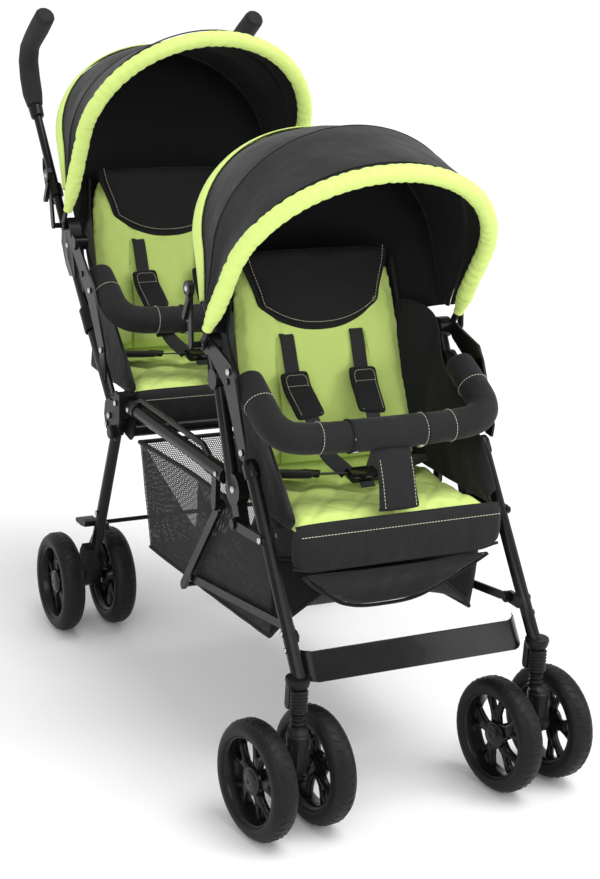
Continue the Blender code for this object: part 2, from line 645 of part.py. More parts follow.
def front_post(side):
    """Post over the front hub with the hood hinge, the bar plate and the ear for the leg link."""
    x = side * FRAME_X
    top = HOOD_F["pivot"]
    hub = disc("front_post", FRONT_HUB, 0.0255, side * 0.1890, side * 0.2065, 12)
    ear = plate("ear", bar_outline((FRONT_HUB[0] - 0.002, FRONT_HUB[1] - 0.010), LEG_PIVOT, 0.0115),
                side * 0.1900, side * 0.2058)
    pin = disc("pin", LEG_PIVOT, 0.0048, side * 0.2000, side * 0.2150, 8)
    head = disc("head", LEG_PIVOT, 0.0085, side * 0.2130, side * 0.2158, 8)
    post = tube("post", [(x, 0.262, 0.455), (x, 0.327, 0.609), (x, *beyond(top, (-0.005, -0.015))),
                         (x, *beyond(top, (0.0, 0.005)))],
                [0.0100, 0.0100, 0.0105, 0.0085], 10)
    rings = [disc("ring", (0.3255, 0.606), 0.0165, side * 0.1915, side * 0.2125, 12),
             disc("ring", top, 0.0170, side * 0.1915, side * 0.2125, 12)]
    reach = [beyond(top, step) for step in ((-0.020, -0.015), (-0.007, 0.0), (-0.020, 0.012))]
    round_bar = [beyond(BAR_PIVOT, step) for step in ((0.023, 0.037), (-0.010, 0.028), (-0.026, 0.007))]
    wide = plate("wide", [(0.195, 0.512), (0.212, 0.514), (0.224, 0.535), beyond(BAR_PIVOT, (0.013, -0.008))]
                 + reach + round_bar + [(0.192, 0.532)], side * 0.2108, side * 0.2150)
    bar_pin = disc("bar_pin", BAR_PIVOT, 0.0050, side * 0.2130, side * (BAR_HALF + BAR_R - 0.006), 8)
    rivets = [disc("rivet", p, 0.0055, side * 0.2130, side * 0.2172, 6)
              for p in ((0.203, 0.525), beyond(BAR_PIVOT, (-0.004, 0.016)), BAR_PIVOT)]
    hinge = hood_bracket(side, HOOD_F["pivot"], beyond(HOOD_F["pivot"], CLAMP_F), 0.2050)
    finish(union("front_post_" + side_name(side), [hub, ear, pin, head, post, wide, bar_pin] + rings + rivets + hinge),
           "powder_black", (x, *FRONT_HUB))


# Rear legs and brake
def rear_leg(side):
    """Oval leg from its eye in the hub down to the axle housing."""
    y, z = REAR_HUB
    foot = Vector((side * (REAR_TRACK - 0.0065), REAR_AXLE[0] - 0.014, REAR_AXLE[1] + 0.022))
    start = Vector((side * 0.2020, y + 0.0085, z - 0.0275))
    leg = tube("rear_leg_" + side_name(side), [start, foot], [0.0098, 0.0105], 10, flat=1.08)
    ring = eye("ring", REAR_HUB, 0.0165, 0.0063, side * 0.1926, side * 0.2028, 10)
    tab = plate("tab", ((y - 0.006, z - 0.0125), (y + 0.012, z - 0.011), (y + 0.018, z - 0.034), (y + 0.002, z - 0.039)),
                side * 0.1926, side * 0.2028)
    a, b = side * (REAR_TRACK - 0.0205), side * (REAR_TRACK + 0.0115)
    ay, az = REAR_AXLE
    shoe = plate("shoe", ((ay - 0.034, az + 0.066), (ay - 0.038, az + 0.030), (ay - 0.022, az - 0.004),
                          (ay - 0.006, az - 0.0140), (ay + 0.008, az - 0.0130), (ay + 0.015, az - 0.002),
                          (ay + 0.013, az + 0.030), (ay + 0.002, az + 0.058), (ay - 0.010, az + 0.072)), a, b)
    boss = disc("boss", REAR_AXLE, 0.0105, side * (REAR_TRACK - 0.0262), side * (REAR_TRACK + 0.0262), 12)
    axle = disc("axle", REAR_AXLE, 0.0042, side * (REAR_TRACK - REAR_TWIN - 0.001),
                side * (REAR_TRACK + REAR_TWIN + 0.001), 8)
    lug_ring = eye("lug_ring", (0.840, 0.204), 0.0085, 0.0047, side * 0.1925, side * 0.1965)
    lug = plate("lug", ((0.8150, 0.1980), (0.8330, 0.1990), (0.8330, 0.2090), (0.8150, 0.2100)),
                side * 0.1925, side * (REAR_TRACK - 0.0125))
    rivet = disc("rivet", (0.8080, 0.2350), 0.0045, side * 0.2060, side * (REAR_TRACK + 0.0025), 6)
    finish(union(leg.name, [leg, tab, ring, shoe, boss, axle, lug, lug_ring, rivet]), "powder_black",
           (side * 0.2, *REAR_HUB))


def brake():
    """One rod across with a pedal at each end; stepping on either pedal turns both."""
    pieces = [disc("brake_bar", (0.840, 0.204), 0.0040, -0.2080, 0.2080, 10)]
    for side in (-1, 1):
        pieces.append(plate("pedal", ((0.8360, 0.2090), (0.8380, 0.1990), (0.8600, 0.1950), (0.8860, 0.1940),
                                      (0.8900, 0.1990), (0.8840, 0.2030), (0.8600, 0.2040), (0.8460, 0.2110)),
                            side * 0.1995, side * 0.2310))
    finish(union("brake_bar", pieces), "plastic_black", (0.0, 0.840, 0.204))


# Push frame
def push_tube(side):
    """Lower tube with its eye, knuckle, upper tube, bar plate and hood hinge."""
    y, z = REAR_HUB
    x = side * PUSH_X
    aim = Vector((KNUCKLE[0] - y, KNUCKLE[1] - z)).normalized()
    start = Vector((x + side * 0.0030, y + aim.x * 0.0340, z + aim.y * 0.0340))
    lower = tube("push_tube_" + side_name(side), [start, (x, *KNUCKLE)], LOWER_TUBE_R, 12)
    upper = tube("upper", [(x, *KNUCKLE), (x + side * 0.005, *COLLAR)], UPPER_TUBE_R, 12)
    collar = tube("collar", [point_on(KNUCKLE, COLLAR, t, x + side * 0.005 * t) for t in (0.93, 0.935, 0.995)],
                  [0.0110, 0.0125, 0.0135], 10)
    ring = eye("ring", REAR_HUB, 0.0165, 0.0063, side * 0.2034, side * 0.2138, 10)
    normal = Vector((-aim.y, aim.x))
    near, far = Vector(REAR_HUB) + aim * 0.0120, Vector(REAR_HUB) + aim * 0.0400
    tab = plate("tab", [tuple(near + normal * 0.009), tuple(near - normal * 0.009), tuple(far - normal * 0.008),
                        tuple(far + normal * 0.008)], side * 0.2034, side * 0.2138)
    ky, kz = KNUCKLE
    knuckle = plate("knuckle", ((ky - 0.040, kz - 0.028), (ky - 0.010, kz - 0.032), (ky + 0.012, kz - 0.014),
                                (ky + 0.036, kz + 0.022), (ky + 0.034, kz + 0.046), (ky + 0.026, kz + 0.068),
                                (ky + 0.006, kz + 0.072), (ky - 0.010, kz + 0.056), (ky - 0.026, kz + 0.016)),
                    side * 0.1925, side * 0.2145)
    pivot = beyond(BAR_PIVOT, SECOND_SEAT)
    round_bar = [beyond(pivot, step) for step in ((-0.032, -0.043), (0.023, 0.007), (0.058, 0.037), (0.053, 0.062),
                                                  (0.018, 0.047), (-0.057, -0.013))]
    wide = plate("wide", [(0.790, 0.468), (0.808, 0.486), (0.815, 0.530)] + round_bar
                 + [(0.792, 0.545), (0.783, 0.490)], side * 0.2108, side * 0.2148)
    bar_pin = disc("bar_pin", pivot, 0.0050, side * 0.2130, side * (BAR_HALF + BAR_R - 0.006), 8)
    rivets = [disc("rivet", p, 0.0055, side * 0.2130, side * 0.2170, 6)
              for p in ((0.803, 0.538), beyond(pivot, (-0.043, -0.021)), pivot)]
    knobs = [disc("knob", p, 0.0130, side * 0.1935, side * 0.2185, 12) for p in (beyond(pivot, (0.039, 0.049)),)]
    hinge = hood_bracket(side, HOOD_R["pivot"], beyond(HOOD_R["pivot"], CLAMP_R), 0.2100)
    finish(union(lower.name, [lower, knuckle, upper, collar, tab, ring, wide, bar_pin] + rivets + knobs + hinge),
           "powder_black", (side * 0.2, *REAR_HUB))


def grip(side):
    """Bent foam grip over the tube end."""
    x = side * (PUSH_X + 0.005)
    sizes = [GRIP_R * s for s in (0.80, 1.0, 1.02, 1.0, 0.98, 1.0, 1.04, 1.0)]
    path = [(x, y, z) for y, z in GRIP_PATH]
    ends = (Vector(path[-1]) - Vector(path[-2])).normalized()
    path.append(tuple(Vector(path[-1]) + ends * 0.006))
    sizes.append(GRIP_R * 0.72)
    finish(tube("grip_" + side_name(side), path, sizes, 12), "foam_black", path[0])


def tube_point(along, side, away=0.0):
    """A point on the upper tube's centre line, or away from it to the rear."""
    y, z = mix(KNUCKLE[0], COLLAR[0], along), mix(KNUCKLE[1], COLLAR[1], along)
    aim = Vector((COLLAR[0] - KNUCKLE[0], COLLAR[1] - KNUCKLE[1])).normalized()
    return Vector((side * (PUSH_X + 0.005 * along), y + aim.y * away, z - aim.x * away))


def collar_ring(name, points, outer, inner, sides=12):
    """A sleeve with a through bore along a straight line of two points."""
    rings = []
    frames = frames_along(points)
    for (point, side, normal), size in ((frames[0], outer), (frames[1], outer), (frames[1], inner),
                                        (frames[0], inner)):
        rings.append([point + side * (size * math.cos(2 * math.pi * (k + 0.5) / sides))
                      + normal * (size * math.sin(2 * math.pi * (k + 0.5) / sides)) for k in range(sides)])
    return rings_to_body(name, rings, closed=True)


def release_loop(side):
    """D shaped pull on a sleeve that slides on the upper tube."""
    ring = collar_ring("release_loop_" + side_name(side), [tube_point(0.400, side), tube_point(0.470, side)],
                       0.0122, 0.0086)
    path = [tube_point(a, side, d) for a, d in ((0.420, 0.0100), (0.395, 0.022), (0.430, 0.034), (0.530, 0.038),
                                               (0.640, 0.030), (0.685, 0.0195), (0.672, 0.0125))]
    back = [tube_point(a, side, d) for a, d in ((0.672, 0.0125), (0.560, 0.0125), (0.460, 0.0110))]
    loop = tube("loop", path, 0.0038, 8)
    bar = tube("bar", back, 0.0030, 8)
    finish(union(ring.name, [ring, loop, bar]), "plastic_black", tube_point(0.400, side))


def latch_sleeve(side):
    """Lock sleeve on the lower tube with its arm to the hub plate."""
    x = side * PUSH_X
    y, z = REAR_HUB
    aim = Vector((KNUCKLE[0] - y, KNUCKLE[1] - z)).normalized()
    slant = side * 0.0030
    length = (Vector(KNUCKLE) - Vector(REAR_HUB)).length

    def on_tube(t):
        """Centre of the lower tube at fraction t from hub to knuckle."""
        share = (t * length - 0.0340) / (length - 0.0340)
        return Vector((x + slant * (1.0 - share), y + aim.x * length * t, z + aim.y * length * t))

    ring = collar_ring("latch_sleeve_" + side_name(side), [on_tube(0.52), on_tube(0.66)], 0.0146, 0.0109)
    arm = plate("arm", ((0.866, 0.548), (0.860, 0.520), (0.850, 0.502), (0.856, 0.492), (0.866, 0.496),
                        (0.880, 0.530), (0.892, 0.562), (0.886, 0.574), (0.874, 0.566)),
                side * 0.1902, side * 0.1945)
    rivet = disc("rivet", (0.8575, 0.4995), 0.0045, side * 0.1890, side * 0.1930, 6)
    finish(union(ring.name, [ring, arm, rivet]), "plastic_black", on_tube(0.52))


# Seats
def seat_place(second, y, z):
    """A front seat (y, z) moved to the second seat when asked."""
    return (y + SECOND_SEAT[0], z + SECOND_SEAT[1]) if second else (y, z)


def seat_base(second):
    """Cushion with its crown and front valance between low side walls."""
    fy, fz = SEAT_FRONT
    ry, rz = SEAT_REAR
    top = [(ry - 0.004, rz), (0.265, rz - 0.004), (0.190, rz - 0.006), (0.130, fz + 0.002), (fy + 0.006, fz - 0.004),
           (fy - 0.007, fz - 0.022), (fy - 0.008, 0.392), (fy - 0.005, VALANCE_FOOT + 0.006)]
    low = [(ry - 0.004, rz - 0.026), (0.265, rz - 0.030), (0.190, rz - 0.032), (0.130, fz - 0.024),
           (fy + 0.016, fz - 0.030), (fy + 0.011, fz - 0.038), (fy + 0.010, 0.390), (fy + 0.008, VALANCE_FOOT)]
    loop = top + low[::-1]
    mids = [((a[0] + b[0]) / 2, (a[1] + b[1]) / 2) for a, b in zip(top, low)]
    centres = mids + mids[::-1]
    rings = []
    stations = 10
    for s in range(stations + 1):
        u = -1.0 + 2.0 * s / stations
        u = math.sin(u * math.pi / 2.0) * 0.35 + u * 0.65
        fill = 0.42 + 0.58 * max(0.0, 1.0 - abs(u) ** 6) ** 0.5
        ring = []
        for k, (point, mid) in enumerate(zip(loop, centres)):
            crown = 0.0070 * (1.0 - u * u) * math.sin(math.pi * k / 7.0) if k < 8 else 0.0
            tuck = -0.0022 * math.cos(u * math.pi * 5.0) ** 8 if 0 < k < 4 else 0.0
            y = mid[0] + (point[0] - mid[0]) * fill
            z = mid[1] + (point[1] - mid[1]) * fill + crown + tuck
            ring.append(Vector((u * SEAT_HALF, *seat_place(second, y, z))))
        rings.append(ring)
    cushion = rings_to_body("seat_base", rings)
    walls = []
    for side in (-1, 1):
        grid = []
        for y, height in WING_TOP:
            line = []
            for j in range(4):
                s = j / 3.0
                line.append(Vector((side * (WING_X + 0.004 * s - 0.007 * math.sin(s * math.pi)),
                                    *seat_place(second, y, mix(0.4200, height, s)))))
            grid.append(line)
        if side < 0:
            grid = grid[::-1]
        walls.append(sheet("wall", grid, 0.0045))
    name = "seat_base_" + ("rear" if second else "front")
    finish(union(name, [cushion] + walls), "fabric_lime", (0.0, *seat_place(second, *SEAT_REAR)))


def back_point(along, out, x, second):
    """A point on the seat back: up along its lean, out toward the sitter."""
    y = BACK_FOOT[0] + along * math.sin(BACK_LEAN) - out * math.cos(BACK_LEAN)
    z = BACK_FOOT[1] + along * math.cos(BACK_LEAN) + out * math.sin(BACK_LEAN)
    return Vector((x, *seat_place(second, y, z)))


def pillow(name, outline_half, span, thick, second, lift=0.0, channels=0, drawn=0.5, rows=10, cols=10):
    """A filled pad on the seat back with crown, drawn-in sides and sewn channels."""
    front, back = [], []
    for i in range(rows + 1):
        v = i / rows
        line_f, line_b = [], []
        for j in range(cols + 1):
            u = -1.0 + 2.0 * j / cols
            u = 0.72 * u + 0.28 * math.sin(u * math.pi / 2.0)
            half = outline_half(v)
            full = max(0.0, 1.0 - abs(u) ** 5) ** 0.5 * max(0.0, 1.0 - abs(2.0 * v - 1.0) ** 7) ** 0.5
            depth = thick * (drawn + (1.0 - drawn) * full)
            groove = 0.0026 * abs(math.cos(math.pi * channels * v)) ** 10 * full if channels else 0.0
            along = span[0] + (span[1] - span[0]) * v
            line_f.append(back_point(along, lift + depth / 2.0 - groove, u * half, second))
            line_b.append(back_point(along, lift - depth / 2.0, u * half, second))
        front.append(line_f)
        back.append(line_b)
    return grid_pair(name, front, back)


def grid_pair(name, front, back):
    """A closed body between two grids of the same size."""
    rows, cols = len(front), len(front[0])
    verts = [p for row in front for p in row] + [p for row in back for p in row]
    off = rows * cols
    faces = []
    for i in range(rows - 1):
        for j in range(cols - 1):
            a, b, c, d = i * cols + j, i * cols + j + 1, (i + 1) * cols + j + 1, (i + 1) * cols + j
            faces.append((a, b, c, d))
            faces.append((off + d, off + c, off + b, off + a))
    rim = [j for j in range(cols)] + [i * cols + cols - 1 for i in range(1, rows)]
    rim += [(rows - 1) * cols + j for j in range(cols - 2, -1, -1)] + [i * cols for i in range(rows - 2, 0, -1)]
    for k, a in enumerate(rim):
        b = rim[(k + 1) % len(rim)]
        faces.append((b, a, off + a, off + b))
    return mesh_object(name, verts, faces)


def seat_back(second):
    """Padded back panel and the black head pad over it."""
    tag = "rear" if second else "front"
    half = lambda v: mix(BACK_HALF_LOW, BACK_HALF_TOP, v) + 0.004 * math.sin(v * math.pi)
    back = pillow("seat_back_" + tag, half, (0.0, BACK_HEIGHT - 0.0005), BACK_THICK, second, channels=5)
    finish(back, "fabric_lime", (0.0, *seat_place(second, *SEAT_REAR)))
    head_half = lambda v: HEAD_HALF * (0.82 + 0.18 * math.sin(min(1.0, v * 1.25) * math.pi / 2.0)) - 0.012 * v ** 6
    head = pillow("headrest_" + tag, head_half, (BACK_HEIGHT, BACK_HEIGHT + HEAD_HEIGHT), 0.034, second,
                  lift=0.003, rows=7, cols=8)
    finish(head, "fabric_charcoal", (0.0, *seat_place(second, *SEAT_REAR)))


def harness(second):
    """Two padded shoulder straps, waist webbing and buckle in one web."""
    tag = "rear" if second else "front"
    thick = 0.0032
    pieces = []
    off = BACK_THICK / 2.0
    buckle = Vector((0.0, *seat_place(second, 0.222, 0.4620)))
    for side in (-1, 1):
        start = back_point(0.212, off + 0.0030, side * 0.062, second)
        mid = back_point(0.130, off + 0.0150, side * 0.060, second)
        low = Vector((side * 0.054, *seat_place(second, 0.300, 0.540)))
        knee = Vector((side * 0.046, *seat_place(second, 0.262, 0.492)))
        near = Vector((side * 0.020, *seat_place(second, 0.228, 0.4640)))
        pieces.append(strip("web", [start, mid, low, knee, near], 0.0125, thick))
        pieces.append(strip("pad", [mix(start, mid, 0.25), mix(start, mid, 0.75), mix(mid, low, 0.55)],
                            [0.021, 0.023, 0.021], 0.0090))
        hip = Vector((side * 0.145, *seat_place(second, 0.300, 0.4660)))
        hip_mid = Vector((side * 0.085, *seat_place(second, 0.250, 0.4650)))
        pieces.append(strip("waist", [hip, hip_mid, near], 0.0115, thick, up=(0.0, 0.0, 1.0)))
        ring = [Vector((side * 0.049, *seat_place(second, 0.268, 0.500))),
                Vector((side * 0.046, *seat_place(second, 0.256, 0.486)))]
        pieces.append(strip("slider", ring, 0.0165, 0.0080))
    pieces.append(block("buckle", buckle, (0.052, 0.030, 0.018)))
    low_web = [buckle + Vector((0.0, 0.0, -0.004)), Vector((0.0, *seat_place(second, 0.203, 0.4560)))]
    pieces.append(strip("crotch", low_web, 0.0125, thick))
    obj = union("harness_" + tag, [pieces[-2], pieces[-1]] + pieces[:-2])
    finish(obj, "webbing_black", buckle)


def bar_place(second, y, z):
    """The rear bar sits as the front one, moved by the step between the seats."""
    return seat_place(second, y, z)


def bumper_bar(second):
    """Padded U bar across the seat, hinged at both ends."""
    tag = "rear" if second else "front"
    py, pz = BAR_PIVOT
    fy, fz = BAR_FRONT
    half_path = [(BAR_HALF, py, pz), (BAR_HALF, mix(py, fy, 0.45), mix(pz, fz, 0.36)),
                 (BAR_HALF - 0.001, mix(py, fy, 0.76), mix(pz, fz, 0.62)),
                 (BAR_HALF - 0.010, mix(py, fy, 0.93), mix(pz, fz, 0.80)),
                 (BAR_HALF - 0.030, mix(py, fy, 1.00), mix(pz, fz, 0.92)),
                 (BAR_HALF - 0.070, fy - 0.001, mix(pz, fz, 0.98)), (0.050, fy - 0.002, fz)]
    path = half_path + [(-x, y, z) for x, y, z in half_path[::-1]]
    path = [(x, *bar_place(second, y, z)) for x, y, z in path]
    count = len(path)
    sizes = [BAR_R * (0.93 if k in (0, count - 1) else 1.0 + 0.03 * math.sin(k * 2.1)) for k in range(count)]
    rings = []
    points = [Vector(p) for p in path]
    for k, point in enumerate(points):
        ahead = points[min(k + 1, count - 1)]
        behind = points[max(k - 1, 0)]
        tangent = (ahead - behind).normalized()
        up = Vector((0, 0, 1)) - tangent * tangent.z
        up.normalize()
        side = tangent.cross(up)
        limit = BAR_HALF + BAR_R - 0.0005
        ring = []
        for n in range(10):
            angle = 2.0 * math.pi * (n + 0.5) / 10
            p = point + side * (sizes[k] * math.cos(angle)) + up * (sizes[k] * math.sin(angle))
            p.x = max(-limit, min(limit, p.x))
            ring.append(p)
        rings.append(ring)
    bar = rings_to_body("bumper_bar_" + tag, rings)
    finish(cut_bores(bar, second), "fabric_charcoal", (0.0, *bar_place(second, *BAR_PIVOT)))


def cut_bores(bar, second):
    """Sockets for the hinge pins in the ends of the bar."""
    y, z = bar_place(second, *BAR_PIVOT)
    for side in (-1, 1):
        cutter = disc("cutter", (y, z), 0.0056, side * (BAR_HALF + BAR_R - 0.0080), side * 0.225, 8)
        cutter.hide_render = True
        cutter.display_type = "WIRE"
        cut = bar.modifiers.new("bore", "BOOLEAN")
        cut.operation = "DIFFERENCE"
        cut.solver = "EXACT"
        cut.object = cutter
        bpy.context.view_layer.update()
        done = bpy.data.meshes.new_from_object(bar.evaluated_get(bpy.context.evaluated_depsgraph_get()))
        bar.modifiers.clear()
        bar.data = done
        bpy.data.objects.remove(cutter, do_unlink=True)
    return bar


def crotch_strap(second):
    """Wide band from the seat front up, round the bar and down again."""
    tag = "rear" if second else "front"
    fy, fz = BAR_FRONT
    wrap = BAR_R * 1.03 + 0.0036
    path = [(0.1005, 0.4440), (0.1030, 0.4560), (0.1090, 0.4900), (0.1200, 0.5180)]
    for k in range(9):
        angle = math.radians(205.0 - 34.0 * k)
        path.append((fy - 0.0015 + wrap * math.cos(angle), fz + wrap * math.sin(angle)))
    path += [(0.1340, 0.5040), (0.1220, 0.4850), (0.1140, 0.4600)]
    points = [Vector((0.0, *seat_place(second, y, z))) for y, z in path]
    shares = [1.0, 0.98, 0.95, 0.94] + [0.93] * 9 + [0.91, 0.91, 0.91]
    widths = [CROTCH_HALF * share for share in shares]
    finish(strip("crotch_strap_" + tag, points, widths, 0.0026), "fabric_charcoal", points[0])


# Hoods
def bow_half(profile, reach, grow=0.0):
    """Half width of the bow at a height above the pivot, and the height itself."""
    w, wb, s0, h = profile["w"] + grow, profile["wb"] + grow, profile["s0"], profile["h"] + grow
    if reach <= s0:
        u = min(1.0, (s0 - reach) / (s0 - ROLL_FOOT))
        return w - (w - wb) * u * u
    return w * math.sqrt(max(0.0, 1.0 - ((reach - s0) / (h - s0)) ** 2))


def bow_at(profile, share):
    """The bow's sizes at a share of the way from the front bow back to the middle one."""
    bow = dict(profile)
    bow["s0"] = mix(profile["s0"], profile["mid_s0"], share)
    bow["h"] = mix(profile["h"], profile["mid_h"], share)
    return bow


def bow_line(profile, steps, foot, grow=0.0):
    """(x, s) points over the bow from the right foot to the left foot."""
    w, s0, h = profile["w"] + grow, profile["s0"], profile["h"] + grow
    half = []
    straight = 3
    for k in range(straight):
        s = mix(foot, s0, k / straight)
        half.append((bow_half(profile, s, grow), s))
    arc = steps - straight
    for k in range(arc + 1):
        angle = math.pi / 2.0 * k / arc
        half.append((w * math.cos(angle), s0 + (h - s0) * math.sin(angle)))
    return [(-x, s) for x, s in half] + [(x, s) for x, s in half[-2::-1]]


def hood_point(profile, x, s, lean):
    """A point of the hood at a height along a bow leaning forward by so many degrees."""
    py, pz = profile["pivot"]
    angle = math.radians(lean)
    return Vector((x, py - s * math.sin(angle), pz + s * math.cos(angle)))


def hood_front(profile, tag):
    """Padded lime roll on the front bow and the front half of the cloth behind it."""
    py, pz = profile["pivot"]
    lean = profile["lean"]
    line = bow_line(profile, 10, ROLL_FOOT)
    path = [hood_point(profile, x, s, lean) for x, s in line]
    count = len(path)
    sizes = []
    for k in range(count):
        edge = min(k, count - 1 - k)
        size = ROLL_R * (0.56 if edge == 0 else 0.80 if edge == 1 else 0.95 if edge == 2 else 1.0)
        sizes.append(size * (1.0 + 0.035 * math.sin(k * 2.6)))
    plane = Vector((0.0, math.cos(math.radians(lean)), math.sin(math.radians(lean))))
    roll = tube("hood_roll_" + tag, path, sizes, 8, up=tuple(plane), turn=0.0)
    pieces = [roll]
    for side in (-1, 1):
        a, b = side * TAB_X, side * (TAB_X + TAB_THICK)
        tip = hood_point(profile, 0, ROLL_FOOT + 0.005, lean)
        pieces.append(plate("tab", bar_outline((py - 0.012 * math.sin(math.radians(lean)),
                                                pz + 0.012 * math.cos(math.radians(lean))), (tip.y, tip.z), 0.0060, 2),
                            a, b))
        pieces.append(eye("eye", (py, pz), 0.0095, 0.0058, a, b, 8))
    finish(union(roll.name, pieces), "fabric_lime", (0.0, py, pz))
    across = 4
    lines = [bow_line(bow_at(profile, j / across), 9, HOOD_FOOT) for j in range(across + 1)]
    grid = []
    for i in range(len(lines[0])):
        row = []
        for j, line in enumerate(lines):
            x, s = line[i]
            start = lean - math.degrees(math.atan((ROLL_R * 1.04 + 0.0006) / s))
            t = j / across
            sag = -0.0045 * math.sin(math.pi * t) * min(1.0, s / profile["s0"])
            stretch = 1.0 + (sag + CLOTH) / max(s, 0.05) * (1.0 if s > profile["s0"] else 0.0)
            row.append(hood_point(profile, x * (1.0 + (sag * 0.5) / 0.2), s * stretch, mix(start, HOOD_SPLIT, t)))
        grid.append(row)
    cloth = sheet("hood_fore_" + tag, grid, CLOTH)
    finish(cloth, "fabric_charcoal", (0.0, py, pz))


def hood_rear(profile, tag, second):
    """Rear half of the cloth, nested under the front half, with the curtain behind the seat."""
    py, pz = profile["pivot"]
    across = 4
    drop = 2
    line = bow_line(bow_at(profile, 1.0), 9, HOOD_FOOT, -HOOD_NEST - 0.0045)
    grid = []
    count = len(line)
    for i, (x, s) in enumerate(line):
        row = []
        for j in range(across + 1):
            t = j / across
            sag = -0.0040 * math.sin(math.pi * t) * min(1.0, s / profile["s0"])
            row.append(hood_point(profile, x * (1.0 + sag * 0.5 / 0.2), s + sag, mix(HOOD_SPLIT + 2.0, HOOD_BACK, t)))
        last = row[-1]
        share = i / (count - 1)
        low = Vector((0.0, *seat_place(second, 0.4520, 0.6250)))
        low.x = mix(-0.165, 0.165, share)
        low.y -= 0.030 * abs(2.0 * share - 1.0) ** 2
        low.z += 0.030 * abs(2.0 * share - 1.0) ** 2
        for j in range(1, drop + 1):
            t = j / drop
            point = mix(last, low, t) + Vector((0.0, 0.010 * math.sin(math.pi * t), 0.0))
            point.x = mix(last.x, low.x, t ** 0.6)
            row.append(point)
        grid.append(row)
    cloth = sheet("hood_aft_" + tag, grid, CLOTH)
    finish(cloth, "fabric_charcoal", (0.0, py, pz))


# Calf flap and basket
def calf_flap():
    """Padded flap hung from the front of the seat."""
    rows, cols = 5, 8
    front, back = [], []
    for i in range(rows + 1):
        v = i / rows
        line_f, line_b = [], []
        half = mix(FLAP_HALF[0], FLAP_HALF[1], v ** 1.15)
        for j in range(cols + 1):
            u = -1.0 + 2.0 * j / cols
            z = mix(FLAP_HIGH[0], FLAP_HIGH[1] + 0.014 * abs(u) ** 3, v)
            y = mix(FLAP_Y[0], FLAP_Y[1], v) + 0.004 * (1.0 - u * u) * math.sin(v * math.pi)
            full = max(0.0, 1.0 - abs(u) ** 6) ** 0.5 * max(0.0, 1.0 - abs(2.0 * v - 1.0) ** 8) ** 0.5
            depth = FLAP_THICK * (0.4 + 0.6 * full)
            line_f.append(Vector((u * half, y - depth / 2.0, z)))
            line_b.append(Vector((u * half, y + depth / 2.0, z)))
        front.append(line_f)
        back.append(line_b)
    finish(grid_pair("calf_flap", front, back), "fabric_charcoal", (0.0, FLAP_Y[0] + 0.002, FLAP_HIGH[0]))


def basket_edge(count):
    """Rim and floor-edge points around the basket, in order."""
    edge = []
    sides = count // 4

    def along(line, t):
        """A (y, z) point at fraction t over the segments of a line."""
        at = t * (len(line) - 1)
        k = min(int(at), len(line) - 2)
        return mix(line[k][0], line[k + 1][0], at - k), mix(line[k][1], line[k + 1][1], at - k)

    for n in range(sides):
        t = n / sides
        top, low = along(BASKET_TOP, t), along(BASKET_LOW, t)
        edge.append((Vector((BASKET_HALF, *top)), Vector((BASKET_HALF - 0.005, *low))))
    for n in range(sides):
        u = 1.0 - 2.0 * n / sides
        arch = min(1.0, (1.0 - abs(u)) / 0.47) ** 0.8
        top, low = BASKET_TOP[-1], BASKET_LOW[-1]
        edge.append((Vector((u * BASKET_HALF, top[0], top[1] - 0.018 * (1.0 - u * u))),
                     Vector((u * (BASKET_HALF - 0.005), low[0] - 0.020 * arch, low[1] + BASKET_FRONT_RISE * arch))))
    for n in range(sides):
        t = 1.0 - n / sides
        top, low = along(BASKET_TOP, t), along(BASKET_LOW, t)
        edge.append((Vector((-BASKET_HALF, *top)), Vector((0.005 - BASKET_HALF, *low))))
    for n in range(sides):
        u = -1.0 + 2.0 * n / sides
        top, low = BASKET_TOP[0], BASKET_LOW[0]
        edge.append((Vector((u * BASKET_HALF, *top)), Vector((u * (BASKET_HALF - 0.005), *low))))
    return edge


def basket():
    """Open sling of net: sides, floor, back and a front with an arched lower edge."""
    edge = basket_edge(32)
    count = len(edge)
    centre = Vector((0.0, 0.417, BASKET_LOW[1][1] + 0.001))
    levels = [[top for top, low in edge], [mix(top, low, 0.5) for top, low in edge], [low for top, low in edge]]
    for t in (0.30, 0.65):
        levels.append([mix(low, centre, t) for top, low in edge])
    inner = []
    for i, level in enumerate(levels):
        line = []
        for j, point in enumerate(level):
            du = level[(j + 1) % count] - level[j - 1]
            dv = levels[min(i + 1, len(levels) - 1)][j] - levels[max(i - 1, 0)][j]
            normal = dv.cross(du).normalized()
            middle = Vector((0.0, 0.42, 0.45))
            normal = normal if normal.dot(middle - point) > 0.0 else -normal
            line.append(point + normal * 0.0018)
        inner.append(line)
    verts = [p for level in levels for p in level] + [centre]
    off = len(verts)
    verts += [p for line in inner for p in line] + [centre + Vector((0.0, 0.0, 0.0018))]
    faces = []
    for i in range(len(levels) - 1):
        for j in range(count):
            n = (j + 1) % count
            a, b, c, d = i * count + j, i * count + n, (i + 1) * count + n, (i + 1) * count + j
            faces.append((a, b, c, d))
            faces.append((off + d, off + c, off + b, off + a))
    last = (len(levels) - 1) * count
    for j in range(count):
        n = (j + 1) % count
        faces.append((last + j, last + n, len(levels) * count))
        faces.append((off + last + n, off + last + j, off + len(levels) * count))
        faces.append((n, j, off + j, off + n))
    finish(mesh_object("basket", verts, faces), "mesh_black", (0.0, 0.417, 0.224))


